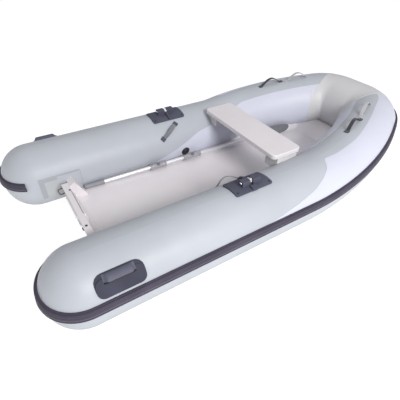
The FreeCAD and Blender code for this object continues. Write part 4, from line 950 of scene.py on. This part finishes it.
# %% The six straps
GRAB_RISE = 0.036
STITCH_STEPS = (1, 3, 5, STRAP_STEPS - 5, STRAP_STEPS - 3, STRAP_STEPS - 1)
STITCHES_ACROSS = 7
STRAPS = [
    ("grab_strap", side_way, GRAB_RISE, 0.029, grey_webbing, "webbing"),
    ("bow_handle", bow_way(13.5, 20.6, 96, 92), 0.048, 0.026, dark_webbing, "webbing"),
    ("bow_loop", bow_way(21.2, 28.6, 96, 90), 0.052, 0.024, pale_webbing, "pale_webbing"),
]
stitches = []
for name, way, rise, width, finish, slot in STRAPS:
    shape, chart, frames = band(way, rise, width)
    webbing = sum((there[0] - here[0]).length for here, there in zip(frames, frames[1:]))
    print(name, "is", round(webbing, 3), "m of webbing", width, "m wide")
    for side, made in sides(shape):
        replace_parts(piece(f"{name}_web_{side}", made, finish, chart), f"{name}_{side}")
    for point, across, normal in (frames[step] for step in STITCH_STEPS):
        for i in range(STITCHES_ACROSS):
            aside = width * 0.8 * (i / (STITCHES_ACROSS - 1) - 0.5)
            stitches.append((point + across * aside + normal * (WEB_THICKNESS / 2), normal, across))
print("straps", len(STRAPS) * 2, "stitches on one side", len(stitches))

# %% [markdown]
# ## Glued patches
# Each strap ends on a patch glued to the tube, and the grab strap also has a dark cuff over each end. A
# Shrinkwrap modifier could press a flat sheet on. Placing every point by its way along and round the tube
# keeps the patch's thickness even.
# %% Patches that bend with the tube
PATCH_RINGS = ((1.0, None), (1.0, -0.0005), (0.97, 0.0), (0.7, 0.0), (0.4, 0.0), (0.12, 0.0))
CORNER_STEPS = 5


def round_corners(length, width, corner):
    """The outline of a flat piece as points (u, v), anticlockwise."""
    outline = []
    for quarter, (a, b) in enumerate(((1, 1), (-1, 1), (-1, -1), (1, -1))):
        for i in range(CORNER_STEPS):
            angle = math.pi / 2 * (quarter + i / (CORNER_STEPS - 1))
            outline.append((a * (length / 2 - corner) + corner * math.cos(angle),
                            b * (width / 2 - corner) + corner * math.sin(angle)))
    return outline


def on_tube(along, turn, angle, u, v, lift):
    """A point of a flat piece laid on the tube, turned by an angle on its surface."""
    ahead = u * math.cos(angle) - v * math.sin(angle)
    round_it = u * math.sin(angle) + v * math.cos(angle)
    return tube.skin(along + ahead, turn + math.degrees(round_it / RADIUS), lift)


def patch(along, turn, length, width, angle=0.0, corner=0.008, lift=0.0014):
    """A patch on the tube; its lowest ring is sunk in, and the others close its top."""
    rows = []
    for share, step in PATCH_RINGS:
        height = SUNK if step is None else lift + step
        rows.append([on_tube(along, turn, angle, u * share, v * share, height)
                     for u, v in round_corners(length, width, corner)])
    return joined(rows)


def lying(way, share):
    """Where the strap's line is at a share, and the angle at which it runs over the tube."""
    along, turn = way(share)
    further, higher = way(share + 0.02)
    return along, turn, math.atan2(math.radians(higher - turn) * RADIUS, further - along)


print("a patch has", len(patch(0, 90, 0.04, 0.03)[1]), "faces")

# %% Patches and cuffs of the straps
PATCH_LENGTH = 0.034
PATCH_BORDER = 0.010
CUFF_WIDTH = 0.0325
CUFF_THICKNESS = 0.0072
patch_finish = {"grab_strap": flap_rubber, "bow_handle": pad_rubber, "bow_loop": tube_fabric}
for name, way, _, width, _, _ in STRAPS:
    for end, share in (("aft", TAIL * 0.6), ("fore", 1 - TAIL * 0.6)):
        along, turn, angle = lying(way, share)
        shape = patch(along, turn, PATCH_LENGTH, width + PATCH_BORDER, angle)
        both_sides(f"{name}_patch_{end}", shape, patch_finish[name])
for end, first, last in (("aft", -0.01, 0.13), ("fore", 0.87, 1.01)):
    shape, _, _ = band(side_way, GRAB_RISE, CUFF_WIDTH, CUFF_THICKNESS, first, last)
    both_sides(f"grab_strap_cuff_{end}", shape, pad_rubber)
print("patches and cuffs on one side", 2 * len(STRAPS) + 2)

# %% [markdown]
# ## Stamping small things
# Stitches, screws and ribs are the same shape many times over. Copies made in a loop would be hundreds
# of objects. Instead, one Geometry Nodes tree puts a stamp on each point of a bare mesh, turned by two
# directions stored on the point: facing, away from the surface, and heading, along it.
# %% A stamp on points
stamp_tree = NodeTree("stamp on points", {"Stamp": "Object", "Material": "Material"})
stamp_facing = stamp_tree.node("GeometryNodeInputNamedAttribute", {"data_type": "FLOAT_VECTOR"},
                               {"Name": "facing"})
stamp_heading = stamp_tree.node("GeometryNodeInputNamedAttribute", {"data_type": "FLOAT_VECTOR"},
                                {"Name": "heading"})
stamp_turn = stamp_tree.node("FunctionNodeAxesToRotation", {"primary_axis": "Z", "secondary_axis": "X"},
                             {"Primary Axis": stamp_facing, "Secondary Axis": stamp_heading})
stamp_given = stamp_tree.node("GeometryNodeObjectInfo", {"transform_space": "ORIGINAL"},
                              {"Object": stamp_tree.given_as("Stamp"), "As Instance": True}, "Geometry")
stamp_set = stamp_tree.node("GeometryNodeInstanceOnPoints", None,
                            {"Points": stamp_tree.given_as("Geometry"), "Instance": stamp_given,
                             "Rotation": stamp_turn})
stamp_tree.finish(stamp_set, stamp_tree.given_as("Material"))


def stamp_on(name, spots, shape, finish, slot):
    """The shape on every spot (point, facing, heading), as one piece."""
    points, facing, heading = zip(*spots)
    host = host_mesh(f"{name}_spots", points, facing=facing, heading=heading)
    pattern = host_mesh(f"{name}_stamp", shape[0], faces=shape[1])
    stamp_tree.apply(name, host, {"Stamp": pattern, "Material": finish}, slot)
    bpy.data.objects.remove(pattern)


def stamp_both(name, spots, shape, finish, slot):
    """The shape on every spot and on its mirror image, as one piece."""
    stamp_on(name, spots + [tuple(mirrored(spot)) for spot in spots], shape, finish, slot)


print("stamp tree sockets", [item.name for item in stamp_tree.tree.interface.items_tree])

# %% Stitches
# Rows of a stitch along its thread: place, half its width, height
STITCH_ROWS = [(-0.0016, 0.0001, 0.0), (-0.0011, 0.0004, 0.0005), (0, 0.00045, 0.0007),
               (0.0011, 0.0004, 0.0005), (0.0016, 0.0001, 0.0)]
STITCH_SINKS = -0.0004
STITCH = joined([[Vector((x, y, z)) for y, z in ((-w, STITCH_SINKS), (-w * 0.6, h), (w * 0.6, h),
                                                 (w, STITCH_SINKS))] for x, w, h in STITCH_ROWS])
stamp_both("strap_stitches", stitches, STITCH, thread_finish, "webbing")
print("stitches", 2 * len(stitches))

# %% [markdown]
# ## Screws and plugs
# The hardware is screwed down with pan-head screws. Their heads have a six-lobed recess, which catches
# the light in a close view. A Boolean could cut it. Turning the head like a small pot, with a wavy
# outline only at the recess, gives cleaner faces. Two plugs close holes in the top of the transom, and a
# dark bead lies along the gap where its two boards are joined: its dark is painted shadow, the shade in
# that gap.
# %% Turned shapes


def turned(profile, steps=24, lobes=0, depth=0.0, lobed=()):
    """A shape turned about Z from (radius, height); the rows in lobed get a wavy outline."""
    rows = []
    for index, (radius, height) in enumerate(profile):
        ring = []
        for i in range(steps):
            angle = 2 * math.pi * i / steps
            reach = radius * (1 + (depth * math.cos(lobes * angle) if index in lobed else 0))
            ring.append(Vector((reach * math.cos(angle), reach * math.sin(angle), height)))
        rows.append(ring)
    return joined(rows)


print("a cone of 6 sides has", len(turned([(0.01, 0), (0.001, 0.01)], 6)[1]), "faces")

# %% Screws on the pads and the motor plates
SCREW = turned([(0.0052, -0.0006), (0.0054, 0.0006), (0.0049, 0.0018), (0.0034, 0.0026), (0.0022, 0.0028),
                (0.0019, 0.0014), (0.0002, 0.0012)], 24, 6, 0.16, (4, 5))
PAD_TOP = 0.0103
PAD_SCREW_INSET = 0.018
PAD_SCREW_TURNS = (81.5, 110.5)
PLATE_SCREW_Y = 0.100
PLATE_SCREW_STEP = 0.028


def tube_spot(along, turn, lift):
    """A spot for a stamp on the tube: its point, the way it faces and its heading."""
    point = tube.skin(along, turn, lift)
    outward = (tube.skin(along, turn, 1.0) - tube.skin(along, turn)).normalized()
    return point, outward, X_AXIS


pad_low, pad_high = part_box("rowlock_base_port")
pad_spots = [tube_spot(tube.along_at(x), turn, PAD_TOP)
             for x in (pad_low.x + PAD_SCREW_INSET, pad_high.x - PAD_SCREW_INSET)
             for turn in PAD_SCREW_TURNS]
stamp_both("rowlock_screws", pad_spots, SCREW, black_plastic, "black_plastic")
mounts = {mount["name"]: mount for mount in frame["record"]["mounts"]}
plate_spots = []
for mount in mounts.values():
    if mount["kind"] == "flat_face" and "motor" in mount["name"]:
        centre, outward = Vector(mount["pos_m"]), Vector(mount["axis"])
        upward = outward.cross(Y_AXIS).normalized() * math.copysign(1, -outward.x)
        plate_spots += [(centre + Y_AXIS * side + upward * (PLATE_SCREW_STEP * step), outward, Y_AXIS)
                        for side in (-PLATE_SCREW_Y, PLATE_SCREW_Y) for step in (-1, 1)]
stamp_on("motor_plate_screws", plate_spots, SCREW, polished_steel, "steel")
print("screws", 2 * len(pad_spots) + len(plate_spots))

# %% The top of the transom
PLUG = turned([(0.0070, -0.0006), (0.0072, 0.0006), (0.0066, 0.0016), (0.0040, 0.0021), (0.0036, 0.0011),
               (0.0003, 0.0010)])
PLUG_PLACES = ((-1.1265, 0.146), (-1.139, -0.214))
JOINT_X = -1.1215
JOINT_FROM_Y = 0.132
JOINT_LENGTH = 0.240
JOINT_RADIUS = 0.0016
transom_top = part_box("transom")[1].z
top_spots = [(Vector((x, y, transom_top)), Z_AXIS, X_AXIS) for x, y in PLUG_PLACES]
stamp_on("transom_plugs", top_spots, PLUG, black_plastic, "black_plastic")
# A dark bead along the gap: painted shadow, the shade in the gap where the boards meet.
joint_shadow_row = [Vector((JOINT_X, JOINT_FROM_Y - JOINT_LENGTH * i / 8, transom_top)) for i in range(9)]
bead("transom_joint", joint_shadow_row, JOINT_RADIUS, bead_rubber, "moulded_rubber")
print("plugs", len(top_spots), "joint line", JOINT_LENGTH, "m")

# %% [markdown]
# ## Rowlock hardware
# Each pin is a bolt with a round head at its aft end and a nut at the other, and each pad has a raised
# rubber stop at its outboard edge. Bevelled cylinders would do for head and nut. Turned shapes need only
# an outline each, and a nut is simply one with six sides.
# %% Bolts and stops
HEAD = turned([(0.0095, 0.0), (0.0095, 0.0022), (0.0078, 0.0048), (0.0040, 0.0060), (0.0002, 0.0063)], 28)
NUT = turned([(0.0092, 0.0), (0.0100, 0.0010), (0.0100, 0.0058), (0.0086, 0.0070), (0.0002, 0.0070)], 6)
PRESSED_ON = 0.0002
STOP_TURN = 80.5
pin_low, pin_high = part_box("rowlock_pin_port")
pin_y, pin_z = (pin_low.y + pin_high.y) / 2, (pin_low.z + pin_high.z) / 2
heads = [(Vector((pin_low.x + PRESSED_ON, pin_y, pin_z)), -X_AXIS, Z_AXIS)]
nuts = [(Vector((pin_high.x - PRESSED_ON, pin_y, pin_z)), X_AXIS, Z_AXIS)]
stamp_both("rowlock_bolt_heads", heads, HEAD, polished_steel, "steel")
stamp_both("rowlock_nuts", nuts, NUT, polished_steel, "steel")
pad_middle = tube.along_at((pad_low.x + pad_high.x) / 2)
stopper = patch(pad_middle, STOP_TURN, 0.040, 0.030, 0.0, 0.004, PAD_TOP + 0.010)
both_sides("rowlock_stopper", stopper, pad_rubber)
print("rowlock pads", round(pad_middle, 3), "m along the tubes")

# %% [markdown]
# ## The pocket of a stern handle
# A stern handle is a moulded pocket on a flange: its upper side is closed down to the pad, and a hand
# goes in from below. The solid stands for it as a plain bar. It could be sculpted, but one skin over
# rows stays even: the rows run along the handle, and each is a thin ring from a thick lip, over the
# crest, down to the pad. A black bead rounds the lip, and its black is painted shadow, the dark line of
# shade under the lip.
# %% Flanges of the stern handles
FLANGE_TURN = 38.5
handle_low, handle_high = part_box("handle_pad_port")
handle_middle = tube.along_at((handle_low.x + handle_high.x) / 2)
flange = patch(handle_middle, FLANGE_TURN, 0.240, 0.1140, 0.0, 0.044, 0.0024)
both_sides("handle_flange", flange, handle_rubber)
print("stern handles", round(handle_middle, 3), "m along the tubes")

# %% Pockets
POCKET_HALF = 0.077
POCKET_SLOPE = 0.022
POCKET_FOOT = 0.0083
POCKET_LIFT = 0.0350
POCKET_STEPS = 44
LIP_TURN = 41.0
LIP_RADIUS = 0.0046
# The pocket's outside and inside: turn round the tube, share of the rise, and a step off it
POCKET_OUTSIDE = [(41.2, 0.90, 0), (41.8, 0.97, 0), (43.4, 1.0, 0), (46.0, 0.93, 0), (48.6, 0.74, 0),
                  (50.6, 0.42, 0), (51.8, 0.12, 0), (52.2, 0, -0.0060)]
POCKET_INSIDE = [(51.0, 0, -0.0060), (50.0, 0.30, 0), (48.2, 0.60, -0.0010), (46.0, 0.80, -0.0010),
                 (43.6, 0.86, -0.0010), (41.8, 0.80, 0)]
grip_low, grip_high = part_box("stern_handle_port")
grip_middle = tube.along_at((grip_low.x + grip_high.x) / 2)


def pocket_point(step, turn, share, off):
    climb = min(1.0, (POCKET_HALF - abs(step)) / POCKET_SLOPE)
    climb = climb * climb * (3 - 2 * climb)
    lift = POCKET_FOOT + (POCKET_LIFT - POCKET_FOOT) * climb * share + off
    return tube.skin(grip_middle + step, turn, lift)


pocket_steps = [-POCKET_HALF + 2 * POCKET_HALF * i / POCKET_STEPS for i in range(POCKET_STEPS + 1)]
pocket = joined([[pocket_point(step, *spot) for spot in POCKET_OUTSIDE + POCKET_INSIDE]
                 for step in pocket_steps])
for side, made in sides(pocket):
    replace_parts(piece(f"stern_handle_pocket_{side}", made, flap_rubber),
                f"stern_handle_{side}")
# The lip's black bead is painted shadow: the dark line of shade under the lip.
lip = [pocket_point(step, LIP_TURN, 0.80, 0) for step in pocket_steps[1:-1]]
bead("stern_handle_lip_port", lip, LIP_RADIUS, black_plastic, "black_plastic")
bead("stern_handle_lip_starboard", mirrored(lip), LIP_RADIUS, black_plastic, "black_plastic")
print("pocket", 2 * POCKET_HALF, "m long")

# %% [markdown]
# ## Valves, bung and the plates of the eyes
# An inflation valve is a ribbed cap that a hand can unscrew, on a round flange. The transom's eyes stand
# on small steel plates, each with two screws, and the bung sits in a round flange. An Array modifier
# could set the ribs round a cap. Here ribs, screws and plates are stamped, so one shape serves both sides.
# %% Valve ribs and flanges
VALVE_TURN = 191
RIB_COUNT = 30
RIB_REACH = 0.0262
RIB_OUTLINE = ((-0.0012, -0.0009), (0.0012, -0.0005), (0.0012, 0.0005), (-0.0012, 0.0009))
RIB = joined([[Vector((x, y, z)) for x, y in RIB_OUTLINE] for z in (0.0004, 0.0046, 0.0056)])
VALVE_FLANGE = turned([(RIB_REACH, -0.004), (0.0345, -0.004), (0.0345, 0.0010), (0.0335, 0.0020),
                       (RIB_REACH, 0.0020)], 48)
valve_low, valve_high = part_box("valve_port")
valve_along = tube.along_at((valve_low.x + valve_high.x) / 2)
valve_point, valve_out, _ = tube_spot(valve_along, VALVE_TURN, 0.0003)
valve_up = valve_out.cross(X_AXIS).normalized()
rib_spots = []
for i in range(RIB_COUNT):
    angle = 2 * math.pi * i / RIB_COUNT
    way_out = X_AXIS * math.cos(angle) + valve_up * math.sin(angle)
    rib_spots.append((valve_point + way_out * RIB_REACH, valve_out, way_out))
stamp_both("valve_ribs", rib_spots, RIB, black_plastic, "black_plastic")
flange_spots = [(valve_point, valve_out, X_AXIS)]
stamp_both("valve_flanges", flange_spots, VALVE_FLANGE, black_plastic, "black_plastic")
print("valve", [round(v, 3) for v in valve_point])

# %% Plates of the eyes, and the bung's flange
RAKE = math.radians(10)
BACK_OUT = Vector((-math.cos(RAKE), 0, -math.sin(RAKE)))
BACK_UP = Vector((-math.sin(RAKE), 0, math.cos(RAKE)))
OUTER_PLATE_THICKNESS = 0.008
EYE_PLATE_RAISED = 0.0058
EYE_PLATE = 0.0022
EYE_SCREW_STEP = 0.0335
BUNG_SUNK = 0.0065
BUNG_FLANGE = turned([(0.0162, -0.001), (0.0240, -0.001), (0.0240, 0.0016), (0.0228, 0.0026),
                      (0.0162, 0.0026)], 40)


def flat_plate(length, width, corner, thickness):
    """A plate with round corners, as rings of (share of the outline, height)."""
    rim = round_corners(length, width, corner)
    rings = ((1, -0.0004), (1, thickness - 0.0006), (0.95, thickness), (0.2, thickness))
    return joined([[Vector((u * share, v * share, height)) for u, v in rim] for share, height in rings])


eye_low, eye_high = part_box("stern_eye_port")
eye_height = (eye_low.z + eye_high.z) / 2
board_back = Vector(mounts["motor_face_outside"]["pos_m"]) - BACK_OUT * OUTER_PLATE_THICKNESS
eye_spot = board_back + BACK_UP * ((eye_height - board_back.z + EYE_PLATE_RAISED) / BACK_UP.z)
eye_spot.y = (eye_low.y + eye_high.y) / 2
eye_plate = flat_plate(0.082, 0.026, 0.012, EYE_PLATE)
stamp_both("stern_eye_plates", [(eye_spot, BACK_OUT, BACK_UP)], eye_plate, polished_steel, "steel")
eye_screws = [(eye_spot + BACK_UP * step + BACK_OUT * (EYE_PLATE - 0.0001), BACK_OUT, BACK_UP)
              for step in (-EYE_SCREW_STEP, EYE_SCREW_STEP)]
stamp_both("stern_eye_screws", eye_screws, SCREW, polished_steel, "steel")
bung_low, bung_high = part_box("drain_bung")
bung_middle = Vector(((bung_low.x + bung_high.x) / 2, 0, (bung_low.z + bung_high.z) / 2))
bung_spot = bung_middle - BACK_OUT * BUNG_SUNK
bung_spots = [(bung_spot, BACK_OUT, BACK_UP)]
stamp_on("drain_bung_flange", bung_spots, BUNG_FLANGE, black_plastic, "black_plastic")
print("eye", [round(v, 3) for v in eye_spot], "bung", [round(v, 3) for v in bung_spot])

# %% [markdown]
# ## The patch beside the transom
# A darker patch joins each tube to the transom's side, and a second, paler one lies over it aft of the
# board. The darker one is a solid already, so it only gets a colour, a darker grey that is painted
# shade: it shows as the shadowed edge above the paler one. The paler one could be painted on. As a
# slab, like the coloured panels, it has an edge that catches light.
# %% Patches beside the transom
OVER_PATCH_X = (-1.2445, -1.1520)
OVER_PATCH_TURNS = (167.0, 202.5)
OVER_PATCH_LIFT = 0.0033
# The darker patch's grey is painted shade, along the edge above the paler patch.
patch_fabric = coated_fabric("patch fabric", (0.375, 0.392, 0.425, 1))
pale_patch_fabric = coated_fabric("pale patch fabric", (0.470, 0.490, 0.505, 1))
for side in BOTH:
    frame["nodes"][f"transom_patch_{side}"].data.materials[0] = patch_fabric
over_rows = span(*map(tube.along_at, OVER_PATCH_X), lambda along: OVER_PATCH_TURNS[0],
                 lambda along: OVER_PATCH_TURNS[1])
both_sides("transom_over_patch", slab(over_rows, lift=OVER_PATCH_LIFT), pale_patch_fabric)
print("patch rows", len(over_rows))

# %% [markdown]
# ## The oar
# The shaft is in two lengths of aluminium tube, joined by a plastic collar and a clamp. The oar's own line
# comes from the box of its shaft, and rings and knobs are stamped along it. The blade could be a board
# under a Subdivision Surface. Here it is one skin, a spine that fades into a thin, slightly spooned sheet,
# because a formula sets its thickness exactly.
# %% Fittings of the oar
SHAFT_RADIUS = 0.014
shaft_low, shaft_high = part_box("oar_shaft")
oar_from = Vector((shaft_low.x, shaft_high.y - SHAFT_RADIUS, shaft_low.z + SHAFT_RADIUS))
oar_to = Vector((shaft_high.x, shaft_low.y + SHAFT_RADIUS, shaft_high.z - SHAFT_RADIUS))
oar_ahead = (oar_to - oar_from).normalized()
oar_side = oar_ahead.cross(Z_AXIS).normalized()
oar_up = oar_side.cross(oar_ahead)


def oar_spot(x):
    """The point of the oar's line at x, facing along the oar."""
    return oar_from + oar_ahead * ((x - oar_from.x) / oar_ahead.x)


def along_oar(places):
    return [(oar_spot(x), oar_ahead, oar_up) for x in places]


def sleeve(outer, length, inner=0.0141, bevel=0.0012):
    return turned([(inner, 0), (outer - bevel, 0), (outer, bevel), (outer, length - bevel),
                   (outer - bevel, length), (inner, length)], 40)


oar_joints = [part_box("oar_collar"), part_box("oar_clamp")]
band_places = [x for low, high in oar_joints for x in (low.x + 0.012, high.x - 0.020)]
stop_places = [x for low, high in oar_joints for x in (low.x - 0.009, high.x - 0.001)]
stamp_on("oar_bands", along_oar(band_places), sleeve(0.0206, 0.008, 0.0188), polished_steel, "steel")
stamp_on("oar_stops", along_oar(stop_places), sleeve(0.0215, 0.010), joint_plastic, "oar_blade")
KNOB = turned([(0.0045, 0.0), (0.0045, 0.0060), (0.0100, 0.0065), (0.0112, 0.0090), (0.0112, 0.0150),
               (0.0096, 0.0172), (0.0002, 0.0176)], 24, 8, 0.06, (2, 3, 4, 5))
KNOB_STANDS = 0.0178
lean_out = (oar_up * 0.8 + oar_side * 0.6).normalized()
knobs = [(oar_spot((low.x + high.x) / 2) + lean_out * KNOB_STANDS, lean_out, oar_ahead)
         for low, high in oar_joints]
stamp_on("oar_knobs", knobs, KNOB, knob_plastic, "black_plastic")
GRIP_RIB = turned([(0.0154, 0), (0.0164, 0.0010), (0.0164, 0.0022), (0.0154, 0.0032)], 32)
GRIP_FROM_X = -0.960
GRIP_RIB_PITCH = 0.0085
ribs = along_oar([GRIP_FROM_X + GRIP_RIB_PITCH * i for i in range(9)])
stamp_on("oar_grip_ribs", ribs, GRIP_RIB, grip_rubber, "oar_grip")
print("oar from", [round(v, 3) for v in oar_from], "to", [round(v, 3) for v in oar_to])

# %% The blade
# Half the blade's width at each share of its length
BLADE_OUTLINE = [(0.0, 0.0135), (0.10, 0.0140), (0.20, 0.0190), (0.32, 0.0345), (0.45, 0.0415),
                 (0.60, 0.0430), (0.80, 0.0422), (0.90, 0.0385), (0.96, 0.0300), (0.99, 0.0190),
                 (1.0, 0.0100)]
BLADE_STEPS = 48
BLADE_ACROSS = 16
BLADE_EDGE = 0.0021
SPINE_HALF = 0.0105
THICKEST = 0.0130


def blade():
    low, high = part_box("oar_blade")
    start = oar_spot(low.x - 0.004)
    length = (oar_spot(high.x) - start).length
    rows = []
    for i in range(BLADE_STEPS + 1):
        share = 1 - (1 - i / BLADE_STEPS) ** 1.4
        half_width = table(share, BLADE_OUTLINE)
        spine = 0.0120 * (1 - share) ** 1.2 + 0.0012
        spoon = 0.0016 * math.sin(math.pi * min(share * 1.2, 1.0))
        near, far = [], []
        for j in range(BLADE_ACROSS + 1):
            across = -half_width + 2 * half_width * j / BLADE_ACROSS
            swell = spine * math.exp(-(across / SPINE_HALF) ** 2)
            edge = math.sqrt(max(0.0, 1 - (across / half_width) ** 8))
            thick = min((BLADE_EDGE + swell) * (0.25 + 0.75 * edge), THICKEST)
            bow = spoon * (across / 0.043) ** 2
            centre = start + oar_ahead * (length * share) + oar_up * across
            near.append(centre + oar_side * (bow + thick))
            far.append(centre + oar_side * (bow - thick))
        rows.append(near + list(reversed(far)))
    return joined(rows)


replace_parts(piece("oar_blade_moulded", blade(), blade_plastic), "oar_blade")
print("blade", BLADE_STEPS, "steps along and", BLADE_ACROSS, "across")

# %% [markdown]
# ## Floor and light
# The photograph shows the boat on plain white, with soft light from behind the camera: the crest of the
# near tube throws a soft edge of shade over the floor of the boat. A picture of a studio could light it
# all round, but lamps can be moved and weighed one by one. A wide lamp stands on that side, a weak one
# lights from above, and the pale floor glows a little, as a lit backdrop does.
# %% The pale floor
FLOOR_SIZE = 160.0
FLOOR_GLOW = 0.83


def floor_finish():
    finish = Finish("pale floor")
    cloud = finish.noise(0.8, 3.0).rise(0.3, 0.7)
    colour = finish.mix(cloud, (0.32, 0.32, 0.325, 1), (0.34, 0.34, 0.345, 1))
    return finish.surface(colour, 0.85 + cloud * 0.05, finish.noise(60), 0.0004,
                          **{"Emission Color": (1, 1, 1, 1), "Emission Strength": FLOOR_GLOW})


half = FLOOR_SIZE / 2
corners = [(-half, -half, 0), (half, -half, 0), (half, half, 0), (-half, half, 0)]
floor = host_mesh("floor", corners, faces=[(0, 1, 2, 3)])
floor.data.materials.append(floor_finish())
print("floor", FLOOR_SIZE, "m wide")

# %% Sky and lamps
WORLD_GREY = 0.43
world = bpy.data.worlds.new("soft sky")
bpy.context.scene.world = world
world.use_nodes = True
sky = world.node_tree.nodes["Background"]
sky.inputs["Color"].default_value = (WORLD_GREY, WORLD_GREY, WORLD_GREY * 1.02, 1)
sky.inputs["Strength"].default_value = 1.0

# Name, place, aim, size in metres, power in watts, colour
LAMPS = [
    ("key lamp", (-0.5, -5.4, 4.0), (0.0, 0.1, 0.3), 2.2, 322, (1.0, 0.99, 0.985)),
    ("top lamp", (0.4, 0.6, 4.6), (0.2, 0.0, 0.3), 3.6, 20, (0.98, 0.98, 1.0)),
]
for name, place, aim, size, power, colour in LAMPS:
    light = bpy.data.lights.new(name, "AREA")
    light.shape = "DISK"
    light.size = size
    light.energy = power
    light.color = colour
    lamp = link(bpy.data.objects.new(name, light))
    lamp.location = place
    lamp.rotation_euler = (Vector(place) - Vector(aim)).to_track_quat("Z", "Y").to_euler()
bpy.context.scene.view_settings.view_transform = "Standard"
print("lamps", [lamp[0] for lamp in LAMPS])
